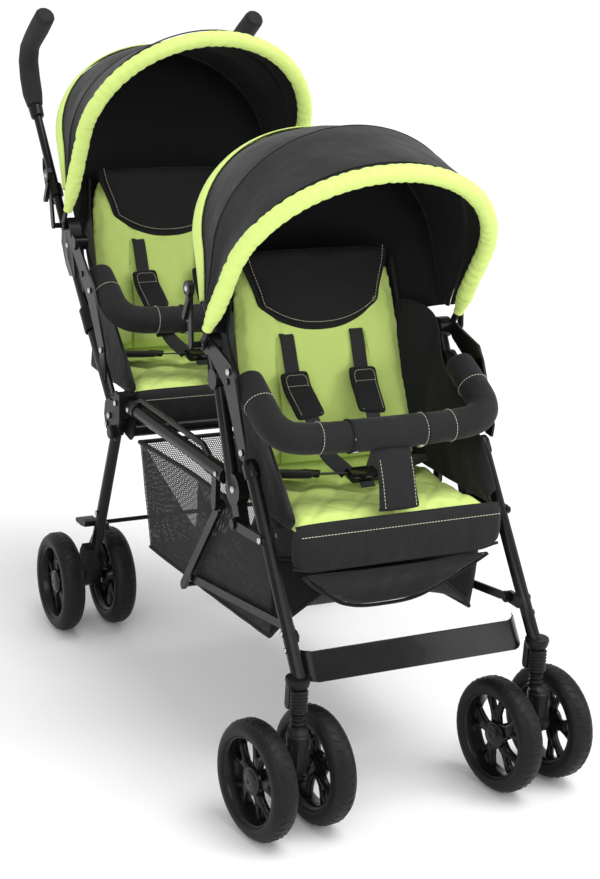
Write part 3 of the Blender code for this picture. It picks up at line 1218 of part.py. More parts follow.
# Build
for s in (-1, 1):
    caster(s)
    rear_wheels(s)
    suspension(s)
    front_leg(s)
    lower_link(s)
    side_rail(s)
    rear_hub(s)
    front_post(s)
    rear_leg(s)
    push_tube(s)
    grip(s)
    release_loop(s)
    latch_sleeve(s)
strut_frame()
footrest()
crossbar()
brake()
for is_rear, hood, label in ((False, HOOD_F, "front"), (True, HOOD_R, "rear")):
    seat_base(is_rear)
    seat_back(is_rear)
    harness(is_rear)
    bumper_bar(is_rear)
    crotch_strap(is_rear)
    hood_front(hood, label)
    hood_rear(hood, label, is_rear)
calf_flap()
basket()

# Centre the whole stroller on its footprint
bpy.context.view_layer.update()
spans = [node.matrix_world @ v.co for node in NODES for v in node.data.vertices]
middle = (min(p.y for p in spans) + max(p.y for p in spans)) / 2.0
for node in NODES:
    node.location.y -= middle
print("moved along y m", round(middle, 6))
print("nodes", len(NODES))
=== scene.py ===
"""Dressed model of a tandem double stroller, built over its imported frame.

Lengths are in metres. Places are written as on the maker's drawing, with y measured
back from the front swivel axes, and place() moves them into the frame's coordinates.
"""

import json
import logging
import math
from dataclasses import dataclass
from enum import Enum
from functools import cache, cached_property
from typing import Any, Callable, Optional, Sequence, Union

import bmesh
import bpy
import numpy as np
from mathutils import Matrix, Vector, noise


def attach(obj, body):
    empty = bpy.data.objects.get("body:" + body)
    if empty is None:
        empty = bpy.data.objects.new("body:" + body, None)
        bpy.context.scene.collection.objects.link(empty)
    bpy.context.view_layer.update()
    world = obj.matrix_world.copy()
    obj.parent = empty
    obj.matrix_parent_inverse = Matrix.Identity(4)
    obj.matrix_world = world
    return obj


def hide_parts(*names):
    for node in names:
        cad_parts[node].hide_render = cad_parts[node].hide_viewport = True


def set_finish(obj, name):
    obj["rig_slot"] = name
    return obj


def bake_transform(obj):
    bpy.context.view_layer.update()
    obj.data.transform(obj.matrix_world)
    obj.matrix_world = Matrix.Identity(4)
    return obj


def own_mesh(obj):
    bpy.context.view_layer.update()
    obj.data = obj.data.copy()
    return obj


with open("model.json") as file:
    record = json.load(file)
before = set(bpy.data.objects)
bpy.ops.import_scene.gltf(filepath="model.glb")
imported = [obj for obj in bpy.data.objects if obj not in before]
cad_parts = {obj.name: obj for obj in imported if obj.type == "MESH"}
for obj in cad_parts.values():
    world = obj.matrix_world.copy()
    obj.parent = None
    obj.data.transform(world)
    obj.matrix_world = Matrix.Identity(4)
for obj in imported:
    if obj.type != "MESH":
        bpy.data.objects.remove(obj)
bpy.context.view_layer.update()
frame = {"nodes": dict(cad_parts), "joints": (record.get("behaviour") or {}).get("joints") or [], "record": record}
LOG = logging.getLogger("stroller")
JOINTS = {joint["name"]: joint for joint in frame["joints"]}
REAR_HUB = (0.745, 0.435)
SHIFT = JOINTS["frame_fold"]["pos_m"][1] - REAR_HUB[0]
SECOND_SEAT = Vector((0.0, 0.645, 0.035))
ACROSS = Vector((1.0, 0.0, 0.0))
UPWARD = Vector((0.0, 0.0, 1.0))


class Side(Enum):
    """The stroller's own left is +X."""

    LEFT = 1
    RIGHT = -1

    @property
    def word(self) -> str:
        """The side's name as the nodes spell it."""
        return self.name.lower()


class Seat(Enum):
    """The two seats, one behind the other."""

    FRONT = "front"
    REAR = "rear"

    @property
    def move(self) -> Vector:
        """Where this seat stands, measured from the front one."""
        return SECOND_SEAT if self is Seat.REAR else Vector()

    @property
    def carrier(self) -> str:
        """The body that carries this seat."""
        return "push_frame" if self is Seat.REAR else "frame"


def place(x: float, y: float, z: float, seat: Seat = Seat.FRONT) -> Vector:
    """A drawing point in the frame's coordinates, on the seat asked for."""
    return Vector((x, y + SHIFT, z)) + seat.move


def mix(a: Any, b: Any, t: float) -> Any:
    """Straight blend of two numbers or vectors."""
    return a * (1.0 - t) + b * t


def ease(t: float) -> float:
    """Smooth step from 0 to 1."""
    t = max(0.0, min(1.0, t))
    return t * t * (3.0 - 2.0 * t)


def squared(value: float, power: float) -> float:
    """A sine or cosine raised to a power under 1 with its sign kept, which squares a round section."""
    return math.copysign(abs(value) ** power, value)


def ripple(x: float, y: float, z: float) -> float:
    """Smooth noise at a place, from about -1 to 1."""
    return noise.noise(Vector((x, y, z)))


def shown(name: str, data: bpy.types.ID) -> bpy.types.Object:
    """A new object in the scene."""
    made = bpy.data.objects.new(name, data)
    bpy.context.scene.collection.objects.link(made)
    return made


# Shader tools
class Wire:
    """A shader value. Its operators add Math nodes to the tree that it belongs to."""

    def __init__(self, brew: "Brew", socket: bpy.types.NodeSocket) -> None:
        """Keeps the tree builder and the output socket."""
        self.brew, self.socket = brew, socket

    def __add__(self, other: Any) -> "Wire":
        """self + other."""
        return self.brew.math("ADD", self, other)

    def __sub__(self, other: Any) -> "Wire":
        """self - other."""
        return self.brew.math("SUBTRACT", self, other)

    def __mul__(self, other: Any) -> "Wire":
        """self * other."""
        return self.brew.math("MULTIPLY", self, other)

    def __truediv__(self, other: Any) -> "Wire":
        """self / other."""
        return self.brew.math("DIVIDE", self, other)


class Brew:
    """Builds the node tree of one material."""

    def __init__(self, name: str) -> None:
        """Starts a material with its Principled shader."""
        self.material = bpy.data.materials.new(name)
        self.material.use_nodes = True
        self.tree = self.material.node_tree
        self.shader = self.tree.nodes["Principled BSDF"]

    def node(self, kind: str, settings: Optional[dict] = None,
             sockets: Optional[dict] = None) -> bpy.types.Node:
        """Adds a node.

        Args:
            kind: The node's type.
            settings: Its own settings, such as a Math node's operation.
            sockets: Values or wires for its inputs, by name or number.

        Returns:
            The node.
        """
        made = self.tree.nodes.new(kind)
        for key, value in (settings or {}).items():
            setattr(made, key, value)
        for key, value in (sockets or {}).items():
            self.feed(made.inputs[key], value)
        return made

    def feed(self, socket: bpy.types.NodeSocket, value: Any) -> None:
        """Links a wire into a socket, or sets the socket's value."""
        if isinstance(value, Wire):
            self.tree.links.new(value.socket, socket)
        else:
            socket.default_value = value

    def wire(self, node: bpy.types.Node, output: Union[str, int] = 0) -> Wire:
        """One output of a node as a wire."""
        return Wire(self, node.outputs[output])

    def math(self, how: str, *values: Any, clamp: bool = False) -> Wire:
        """A Math node on one or two values."""
        settings = {"operation": how, "use_clamp": clamp}
        return self.wire(self.node("ShaderNodeMath", settings, dict(enumerate(values))))

    def around(self, base: float, swing: Wire) -> Wire:
        """A value that swings about a base, kept between 0 and 1."""
        return self.math("ADD", swing, base, clamp=True)

    def coords(self, source: str = "Object") -> Wire:
        """Object or UV coordinates."""
        return self.wire(self.node("ShaderNodeTexCoord"), source)

    def axes(self, vector: Wire) -> tuple:
        """The three parts of a vector."""
        parts = self.node("ShaderNodeSeparateXYZ", None, {0: vector})
        return tuple(self.wire(parts, k) for k in range(3))

    def cloud(self, vector: Wire, scale: float, detail: float = 2.0, rough: float = 0.5) -> Wire:
        """Noise from 0 to 1."""
        sockets = {"Vector": vector, "Scale": scale, "Detail": detail, "Roughness": rough}
        return self.wire(self.node("ShaderNodeTexNoise", None, sockets), "Fac")

    def blend(self, share: Wire, first: Sequence[float], second: Sequence[float]) -> Wire:
        """A colour between two, by a wire."""
        sockets = {0: share, 6: (*first, 1.0), 7: (*second, 1.0)}
        return self.wire(self.node("ShaderNodeMix", {"data_type": "RGBA"}, sockets), 2)

    def bump(self, height: Wire, strength: float, distance: float) -> Wire:
        """A bumped normal from a height."""
        sockets = {"Height": height, "Strength": strength, "Distance": distance}
        return self.wire(self.node("ShaderNodeBump", None, sockets))

    def dress(self, **sockets: Any) -> bpy.types.Material:
        """Feeds the Principled shader's sockets, spelled with _ for spaces, and gives the material."""
        for key, value in sockets.items():
            self.feed(self.shader.inputs[key.replace("_", " ")], value)
        return self.material


@dataclass(frozen=True)
class Finish:
    """A finish that is brewed once and shared."""

    name: str
    slot: str
    colour: tuple
    roughness: float = 0.6

    def brew(self) -> bpy.types.Material:
        """Makes the material."""
        raise NotImplementedError

    def tint(self, times: float, lift: float = 0.0) -> tuple:
        """The finish's colour, lighter or darker."""
        return tuple(c * times + lift for c in self.colour)

    @cached_property
    def material(self) -> bpy.types.Material:
        """The finished material."""
        return self.brew()


@dataclass(frozen=True)
class Coating(Finish):
    """Powder coat, moulded plastic, rubber or steel: a fine grain over broad handling marks."""

    metallic: float = 0.0
    grain: float = 1400.0
    depth: float = 0.00010
    coat: float = 0.0
    shine: float = 0.17

    def brew(self) -> bpy.types.Material:
        """Makes the coating."""
        b = Brew(self.name)
        spot = b.coords()
        fine = b.cloud(spot, self.grain, 2.0)
        broad = b.cloud(spot, 11.0, 4.0, 0.62)
        dust = b.math("MULTIPLY", b.cloud(spot, 60.0, 5.0, 0.7), broad)
        light = tuple(min(1.0, c) for c in self.tint(1.50, 0.004))
        colour = b.blend((dust - 0.12) * 1.7, self.tint(0.82), light)
        return b.dress(Base_Color=colour, Roughness=b.around(self.roughness, (broad - 0.5) * 0.22),
                       Metallic=self.metallic, Normal=b.bump(fine, 0.35, self.depth),
                       Coat_Weight=self.coat, Specular_IOR_Level=self.shine)


@dataclass(frozen=True)
class Foam(Finish):
    """Closed-cell foam with fine open pores."""

    def brew(self) -> bpy.types.Material:
        """Makes the foam."""
        b = Brew(self.name)
        spot = b.coords()
        cells = b.node("ShaderNodeTexVoronoi", {"feature": "F1"}, {"Vector": spot, "Scale": 900.0})
        mottle = b.cloud(spot, 45.0, 4.0)
        return b.dress(Base_Color=b.blend(mottle, self.tint(0.7), self.tint(1.5)),
                       Roughness=b.around(self.roughness, (mottle - 0.5) * 0.12),
                       Normal=b.bump(b.wire(cells, "Distance"), 0.5, 0.0003))


@dataclass(frozen=True)
class Cloth(Finish):
    """Plain woven cloth: warp and weft bump, flecked yarn, soft creases, and large lighter patches of random tone
    that on the hood cloth are painted sheen.
    """

    fleck: tuple = (0.1, 0.1, 0.1)
    share: float = 0.35
    pitch: float = 0.0009
    crease: float = 0.0010
    crease_scale: float = 16.0
    sheen: float = 0.25
    # How strong the large lighter patches are; strong patches are painted sheen.
    wear: float = 0.35

    def brew(self) -> bpy.types.Material:
        """Makes the cloth."""
        b = Brew(self.name)
        spot = b.coords()
        x, y, z = b.axes(spot)
        turn = 2.0 * math.pi / self.pitch
        warp = b.math("SINE", x * turn)
        weft = b.math("SINE", (y + z) * (turn * 0.93))
        weave = warp * weft * 0.5 + 0.5
        yarn = b.cloud(spot, 620.0, 3.0, 0.7)
        tone_and_sheen_cloud = b.cloud(spot, 5.5, 3.0, 0.55)
        folds = b.cloud(spot, self.crease_scale, 3.0, 0.45)
        # Large lighter patches: random tone, and where the amount is large, as on the hood cloth, painted sheen
        # standing in for light on the folds.
        patches = (tone_and_sheen_cloud - 0.5) * self.wear + (weave - 0.5) * 0.25 + 0.32
        tone = b.math("ADD", (yarn - 0.5) * (2.2 * self.share), patches, clamp=True)
        sockets = {"Height": weave + yarn * 0.6, "Strength": 0.35, "Distance": self.pitch * 0.22,
                   "Normal": b.bump(folds, 0.45, self.crease * 6.0)}
        return b.dress(Base_Color=b.blend(tone, self.colour, self.fleck),
                       Roughness=b.around(self.roughness, (yarn - 0.5) * 0.14),
                       Normal=b.wire(b.node("ShaderNodeBump", None, sockets)),
                       Sheen_Weight=self.sheen, Sheen_Roughness=0.45, Specular_IOR_Level=0.25)


@dataclass(frozen=True)
class Net(Finish):
    """Warp-knit net: round holes in staggered rows on the piece's own UV map, open between the threads."""

    pitch: float = 0.0040
    hole: float = 0.29
    pack: float = 0.866

    def brew(self) -> bpy.types.Material:
        """Makes the net."""
        b = Brew(self.name)
        u, v, _ = b.axes(b.coords("UV"))
        rise = v / (self.pitch * self.pack)
        stagger = b.math("PINGPONG", b.math("FLOOR", rise), 1.0) * 0.5
        du = b.math("FRACT", u / self.pitch + stagger) - 0.5
        dv = (b.math("FRACT", rise) - 0.5) * self.pack
        far = b.math("SQRT", du * du + dv * dv)
        yarn = b.cloud(b.coords(), 700.0, 2.0)
        return b.dress(Base_Color=b.blend(yarn, self.colour, self.tint(2.2)),
                       Roughness=b.around(self.roughness, (yarn - 0.5) * 0.1),
                       Alpha=b.math("MULTIPLY", far - self.hole, 26.0, clamp=True),
                       Normal=b.bump(far, 0.4, 0.0006))


@dataclass(frozen=True)
class Webbing(Finish):
    """Narrow woven strap: ribs across, a firm selvedge, on the piece's own UV map."""

    pitch: float = 0.0016

    def brew(self) -> bpy.types.Material:
        """Makes the webbing."""
        b = Brew(self.name)
        u, v, _ = b.axes(b.coords("UV"))
        ribs = b.math("SINE", v * (2.0 * math.pi / self.pitch))
        rows = b.math("SINE", u * (2.0 * math.pi / (self.pitch * 1.8)))
        height = ribs * 0.5 + rows * 0.35
        yarn = b.cloud(b.coords(), 500.0, 3.0)
        tone = b.math("ADD", yarn * 0.6, height * 0.2, clamp=True)
        return b.dress(Base_Color=b.blend(tone, self.colour, self.tint(2.4)),
                       Roughness=b.around(self.roughness, (yarn - 0.5) * 0.12),
                       Normal=b.bump(height, 0.5, 0.0004), Sheen_Weight=0.15)


POWDER = Coating("powder_coat", "powder_black", (0.0055, 0.0055, 0.0058), 0.28, grain=1700.0, coat=0.06)
PLASTIC = Coating("moulded_plastic", "plastic_black", (0.0060, 0.0060, 0.0064), 0.40, grain=1100.0,
                  depth=0.00014)
GLOSS = Coating("polished_plastic", "plastic_black", (0.0050, 0.0050, 0.0054), 0.22, grain=900.0,
                depth=0.00004, coat=0.2)
TYRE = Coating("tyre_rubber", "rubber_black", (0.0075, 0.0075, 0.0078), 0.46, grain=800.0, depth=0.00016)
RIM = Coating("rim_plastic", "rubber_black", (0.0050, 0.0050, 0.0054), 0.28, grain=1200.0, depth=0.00006,
              coat=0.1)
STEEL = Coating("rivet_steel", "spring_steel", (0.55, 0.55, 0.56), 0.28, metallic=1.0, grain=600.0,
                depth=0.00005)
SPRING = Coating("spring_wire", "spring_steel", (0.012, 0.012, 0.013), 0.30, metallic=0.2, grain=700.0)
FOAM = Foam("grip_foam", "foam_black", (0.0105, 0.0105, 0.0110), 0.84)
LIME = Cloth("lime_cloth", "fabric_lime", (0.62, 0.80, 0.20), 0.86, fleck=(0.74, 0.91, 0.30), share=0.16,
             crease=0.0034, crease_scale=14.0, sheen=0.08)
LIME_TRIM = Cloth("lime_trim", "fabric_lime", (0.64, 0.82, 0.21), 0.84, fleck=(0.76, 0.93, 0.31), share=0.14,
                  crease=0.0018, crease_scale=34.0, sheen=0.08)
CHARCOAL = Cloth("charcoal_cloth", "fabric_charcoal", (0.0062, 0.0062, 0.0068), 0.80,
                 fleck=(0.021, 0.021, 0.0235), share=0.30, crease=0.0036, sheen=0.09)
# The large patch amount paints sheen patches onto the hood cloth.
HOOD_CLOTH = Cloth("hood_cloth", "fabric_charcoal", (0.0105, 0.0105, 0.0115), 0.74,
                   fleck=(0.040, 0.040, 0.044), crease=0.0048, crease_scale=9.0, sheen=0.12, wear=1.5)
LINING = Cloth("dark_lining", "fabric_charcoal", (0.0050, 0.0050, 0.0056), 0.86,
               fleck=(0.014, 0.014, 0.0155), share=0.20, crease=0.0018, crease_scale=8.0, sheen=0.04)
PIPING = Cloth("edge_binding", "fabric_charcoal", (0.0060, 0.0060, 0.0066), 0.74,
               fleck=(0.020, 0.020, 0.022), share=0.25, pitch=0.0006, crease=0.0002, sheen=0.06)
NET = Net("basket_net", "mesh_black", (0.0080, 0.0080, 0.0086), 0.80)
DENSE_NET = Net("doubled_net", "mesh_black", (0.0060, 0.0060, 0.0066), 0.84, hole=0.13)
WEB = Webbing("strap_webbing", "webbing_black", (0.0070, 0.0070, 0.0078), 0.74)
CREAM = Cloth("cream_thread", "fabric_charcoal", (0.60, 0.56, 0.42), 0.75, fleck=(0.78, 0.74, 0.60),
              share=0.2, pitch=0.0004, crease=0.0001, sheen=0.0)
# Darker lime thread for the back seams, also used for the cord of painted seam shade.
LIME_THREAD_AND_SEAM_SHADE = Cloth("lime_thread", "fabric_lime", (0.30, 0.44, 0.07), 0.8, fleck=(0.42, 0.58, 0.12),
                    share=0.2, pitch=0.0004, crease=0.0001, sheen=0.0)


# Mesh tools
SIM_STEPS = 20


def spread(rows: Sequence) -> tuple:
    """Flat size of a sheet in metres: the mean lengths along its rows and along its columns."""
    sizes = []
    for runs in (list(rows), list(zip(*rows))):
        lengths = [sum((q - p).length for p, q in zip(run, run[1:])) for run in runs]
        sizes.append(round(sum(lengths) / len(lengths), 3))
    return tuple(sizes)


def hang(made: bpy.types.Object, rows: Sequence) -> None:
    """Logs a sheet's name and flat size."""
    flat = spread(rows)
    LOG.info("sheet %s %.3f x %.3f", made.name, *flat)


def outward(mesh: bpy.types.Mesh) -> None:
    """Merges doubles and turns every face of a closed mesh outwards."""
    work = bmesh.new()
    work.from_mesh(mesh)
    bmesh.ops.remove_doubles(work, verts=work.verts, dist=1e-6)
    bmesh.ops.recalc_face_normals(work, faces=work.faces)
    work.to_mesh(mesh)
    work.free()


def piece(name: str, verts: Sequence, faces: Sequence, finish: Finish, uvs: Optional[Sequence] = None,
          closed: bool = True) -> bpy.types.Object:
    """A smooth piece from points and faces.

    Args:
        name: The piece's name.
        verts: Its points.
        faces: Its faces as point numbers.
        finish: What it is made of.
        uvs: A (u, v) for each point, in metres.
        closed: Whether it is a closed body, whose faces are turned outwards.

    Returns:
        The object.
    """
    mesh = bpy.data.meshes.new(name)
    mesh.from_pydata([tuple(v) for v in verts], [], [tuple(f) for f in faces])
    if uvs is not None:
        layer = mesh.uv_layers.new(name="cloth")
        spots = [uvs[loop.vertex_index] for loop in mesh.loops]
        layer.data.foreach_set("uv", [c for spot in spots for c in spot])
    if closed:
        outward(mesh)
    mesh.materials.append(finish.material)
    mesh.shade_smooth()
    made = shown(name, mesh)
    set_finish(made, finish.slot)
    return made


def smooth_path(points: Sequence[Vector], count: int) -> list:
    """Evenly spaced points on a smooth open curve through the given ones.

    Args:
        points: What the curve passes through.
        count: How many points to give.

    Returns:
        The points.
    """
    pts = [Vector(p) for p in points]
    n = len(pts)
    dense = []
    for k in range(n - 1):
        p1, p2 = pts[k], pts[k + 1]
        p0 = pts[k - 1] if k > 0 else p1 * 2 - p2
        p3 = pts[k + 2] if k + 2 < n else p2 * 2 - p1
        for s in range(16):
            t = s / 16.0
            dense.append(0.5 * ((2 * p1) + (p2 - p0) * t + (2 * p0 - 5 * p1 + 4 * p2 - p3) * t * t
                                + (3 * p1 - p0 - 3 * p2 + p3) * t ** 3))
    dense.append(pts[-1].copy())
    lengths = [0.0]
    for a, b in zip(dense, dense[1:]):
        lengths.append(lengths[-1] + (b - a).length)
    out, k = [], 0
    for s in range(count):
        want = lengths[-1] * s / (count - 1)
        while k < len(dense) - 2 and lengths[k + 1] < want:
            k += 1
        step = lengths[k + 1] - lengths[k]
        out.append(mix(dense[k], dense[k + 1], (want - lengths[k]) / step if step > 1e-12 else 0.0))
    return out


def tube_faces(rings: int, sides: int, closed: bool) -> list:
    """Faces between rings of points that are numbered ring by ring.

    Args:
        rings: How many rings there are.
        sides: Points in each ring, which is a closed loop.
        closed: Whether the last ring is joined to the first.

    Returns:
        The faces.
    """
    faces = []
    for k in range(rings if closed else rings - 1):
        for n in range(sides):
            m, j = (n + 1) % sides, (k + 1) % rings
            faces.append((k * sides + n, k * sides + m, j * sides + m, j * sides + n))
    return faces


def sweep(name: str, path: Sequence[Vector], section: Callable, finish: Finish, up: Vector,
          closed: bool = False, sides: int = 12) -> bpy.types.Object:
    """A body of any section along a path, with an even UV map in metres.

    Args:
        name: The piece's name.
        path: The points that it follows.
        section: Gives (sideways, upward) for a share of the path and an angle.
        finish: What it is made of.
        up: A vector that the section's upward side keeps close to.
        closed: Whether the path is a loop.
        sides: Points around the section.

    Returns:
        The object.
    """
    count = len(path)
    verts, uvs, along = [], [], 0.0
    for k, point in enumerate(path):
        ahead = path[(k + 1) % count] if closed else path[min(k + 1, count - 1)]
        behind = path[k - 1] if closed or k else path[0]
        tangent = (ahead - behind).normalized()
        side = tangent.cross(up)
        side = side.normalized() if side.length > 1e-6 else ACROSS
        top = side.cross(tangent).normalized()
        if k:
            along += (point - path[k - 1]).length
        share = k / max(1, count - 1)
        round_at, last = 0.0, None
        for n in range(sides):
            a, b = section(share, 2.0 * math.pi * n / sides)
            spot = point + side * a + top * b
            round_at += (spot - last).length if last is not None else 0.0
            last = spot
            verts.append(spot)
            uvs.append((round_at, along))
    faces = tube_faces(count, sides, closed)
    if not closed:
        faces.append(tuple(range(sides))[::-1])
        faces.append(tuple((count - 1) * sides + n for n in range(sides)))
    return piece(name, verts, faces, finish, uvs)


def oval(wide: float, deep: float, power: float = 1.0) -> Callable:
    """A section with half sizes wide and deep; a power under 1 squares its corners."""
    def section(share: float, angle: float) -> tuple:
        """Sideways and upward at an angle."""
        return (wide * squared(math.cos(angle), power), deep * squared(math.sin(angle), power))
    return section


def round_section(radius: float, angle: float) -> tuple:
    """Sideways and upward on a round section."""
    return (radius * math.cos(angle), radius * math.sin(angle))


def cord_of(name: str, path: Sequence[Vector], radius: float, finish: Finish, closed: bool = False,
            sides: int = 6) -> bpy.types.Object:
    """A thin round edge cord along a path."""
    return sweep(name, path, oval(radius, radius), finish, Vector((0.013, 0.021, 1.0)), closed, sides)


def lattice(down: int, across: int, rule: Callable[[float, float], Any]) -> list:
    """Rows of what a rule gives for a share of the way down and one across."""
    return [[rule(i / (down - 1), j / (across - 1)) for j in range(across)] for i in range(down)]


def lattice_faces(rows: int, cols: int, start: int = 0) -> list:
    """Faces between the points of a lattice that are numbered row by row."""
    corners = [start + i * cols + j for i in range(rows - 1) for j in range(cols - 1)]
    return [(a, a + 1, a + cols + 1, a + cols) for a in corners]


def grid(name: str, rows: Sequence[Sequence[Vector]], finish: Finish, thick: float = 0.0,
         lining: Optional[Finish] = None, inside: Optional[Vector] = None) -> bpy.types.Object:
    """A sheet on rows of points with a UV map in metres.

    Args:
        name: The piece's name.
        rows: Its points, row by row.
        finish: What its outer face is made of.
        thick: How thick it is, or 0 for a single skin.
        lining: What its inner face is made of, where that differs.
        inside: A point on the inner side of a lined sheet.

    Returns:
        The object.
    """
    cols = len(rows[0])
    uvs, v_at = [], 0.0
    for i, row in enumerate(rows):
        if i:
            v_at += sum((p - q).length for p, q in zip(row, rows[i - 1])) / cols
        u_at = 0.0
        for j, point in enumerate(row):
            u_at += (point - row[j - 1]).length if j else 0.0
            uvs.append((u_at, v_at))
    points = [point for row in rows for point in row]
    made = piece(name, points, lattice_faces(len(rows), cols), finish, uvs, closed=False)
    if thick:
        wall = made.modifiers.new("thickness", "SOLIDIFY")
        wall.thickness, wall.offset, wall.use_even_offset = thick, 0.0, True
        if lining:
            middle = made.data.polygons[len(made.data.polygons) // 2]
            if middle.normal.dot(inside - middle.center) > 0.0:
                made.data.flip_normals()
            made.data.materials.append(lining.material)
            wall.material_offset = 1
    return made


def pad(name: str, rows: int, cols: int, rule: Callable, finish: Finish) -> bpy.types.Object:
    """A closed pad between a front and a back sheet of the same size.

    Args:
        name: The piece's name.
        rows: How many rows of faces it has.
        cols: How many faces each row has.
        rule: Gives a (front, back) pair of points for u from -1 to 1 and v from 0 to 1.
        finish: What it is made of.

    Returns:
        The object.
    """
    pairs = lattice(rows + 1, cols + 1, lambda v, t: rule(-1.0 + 2.0 * t, v))
    verts = [pair[k] for k in (0, 1) for row in pairs for pair in row]
    rows, cols, off = rows + 1, cols + 1, len(verts) // 2
    faces = lattice_faces(rows, cols) + [face[::-1] for face in lattice_faces(rows, cols, off)]
    rim = list(range(cols)) + [i * cols + cols - 1 for i in range(1, rows)]
    rim += [(rows - 1) * cols + j for j in range(cols - 2, -1, -1)]
    rim += [i * cols for i in range(rows - 2, 0, -1)]
    for a, b in zip(rim, rim[1:] + rim[:1]):
        faces.append((b, a, off + a, off + b))
    return piece(name, verts, faces, finish)


def fullness(u: float, v: float, sides: float, ends: float) -> float:
    """How far a pad is filled at (u, v), from 1 inside to 0 at its rim."""
    return max(0.0, 1.0 - abs(u) ** sides) ** 0.5 * max(0.0, 1.0 - abs(2.0 * v - 1.0) ** ends) ** 0.5


def flatten(made: bpy.types.Object) -> bpy.types.Object:
    """Applies a piece's modifiers to its mesh."""
    bpy.context.view_layer.update()
    depsgraph = bpy.context.evaluated_depsgraph_get()
    mesh = bpy.data.meshes.new_from_object(made.evaluated_get(depsgraph), depsgraph=depsgraph)
    made.modifiers.clear()
    made.data = mesh
    return made


def copied(made: bpy.types.Object, name: str, move: Vector) -> bpy.types.Object:
    """A copy of a rounded piece with its mesh moved."""
    twin = shown(name, made.data.copy())
    twin.data.transform(Matrix.Translation(move))
    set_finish(twin, made["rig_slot"])
    return rounder(twin)


def joined(name: str, parts: Sequence[bpy.types.Object]) -> bpy.types.Object:
    """Several finished pieces as one object.

    Args:
        name: The new object's name.
        parts: The pieces; the first takes up the others.

    Returns:
        The object.
    """
    with bpy.context.temp_override(active_object=parts[0], selected_editable_objects=parts,
                                   object=parts[0], selected_objects=parts):
        bpy.ops.object.join()
    parts[0].name = name
    parts[0].data.name = name
    return parts[0]


def rounder(made: bpy.types.Object) -> bpy.types.Object:
    """Adds a subdivision surface."""
    soft = made.modifiers.new("round", "SUBSURF")
    soft.levels = soft.render_levels = 1
    return made


def edit_points(made: bpy.types.Object, change: Callable[[Vector, Vector], Vector]) -> None:
    """Moves each point of a mesh.

    Args:
        made: The piece.
        change: Gives a point's new place from its place and its normal.
    """
    mesh = made.data
    normals = [v.normal.copy() for v in mesh.vertices]
    spots = [change(v.co.copy(), n) for v, n in zip(mesh.vertices, normals)]
    mesh.vertices.foreach_set("co", [c for spot in spots for c in spot])
    mesh.update()


def stuffed(made: bpy.types.Object, finish: Finish, cap: float, voxel: float = 0.005) -> bpy.types.Object:
    """Blows a pad up with a cloth simulation and keeps each point within a cap of where it was.

    Args:
        made: The pad, as a closed body.
        finish: Its cloth, set again after the remesh.
        cap: The most that a point may move, in metres.
        voxel: The remesh size.

    Returns:
        The pad, with the result in its mesh.
    """
    mesher = made.modifiers.new("even", "REMESH")
    mesher.mode, mesher.voxel_size, mesher.use_smooth_shade = "VOXEL", voxel, True
    flatten(made)
    start = np.array([v.co for v in made.data.vertices])
    cloth = made.modifiers.new("cloth", "CLOTH")
    cloth.settings.quality, cloth.settings.mass = 4, 0.2
    cloth.settings.tension_stiffness = cloth.settings.compression_stiffness = 12.0
    cloth.settings.shear_stiffness, cloth.settings.bending_stiffness = 8.0, 0.6
    cloth.settings.use_pressure, cloth.settings.uniform_pressure_force = True, 4.0
    cloth.settings.effector_weights.gravity = 0.0
    cloth.point_cache.frame_end = SIM_STEPS
    for step in range(1, SIM_STEPS + 1):
        bpy.context.scene.frame_set(step)
    flatten(made)
    bpy.context.scene.frame_set(1)
    moved = np.array([v.co for v in made.data.vertices]) - start
    length = np.linalg.norm(moved, axis=1, keepdims=True)
    moved *= np.minimum(1.0, cap / np.maximum(length, 1e-9))
    made.data.vertices.foreach_set("co", (start + moved).ravel())
    made.data.update()
    made.data.materials.clear()
    made.data.materials.append(finish.material)
    made.data.shade_smooth()
    return made


def backed(made: bpy.types.Object, facing: Vector, finish: Finish) -> bpy.types.Object:
    """Gives one side of a pad a second cloth.

    Args:
        made: The pad.
        facing: The way that its first side looks.
        finish: The cloth for the faces that look the other way.

    Returns:
        The pad.
    """
    made.data.materials.append(finish.material)
    for face in made.data.polygons:
        if face.normal.dot(facing) < -0.25:
            face.material_index = 1
    return made


def groove(distance: float, width: float) -> float:
    """How deep a sewn line pulls the cloth, from 1 on the line to 0 away from it."""
    return math.exp(-(distance / width) ** 2)


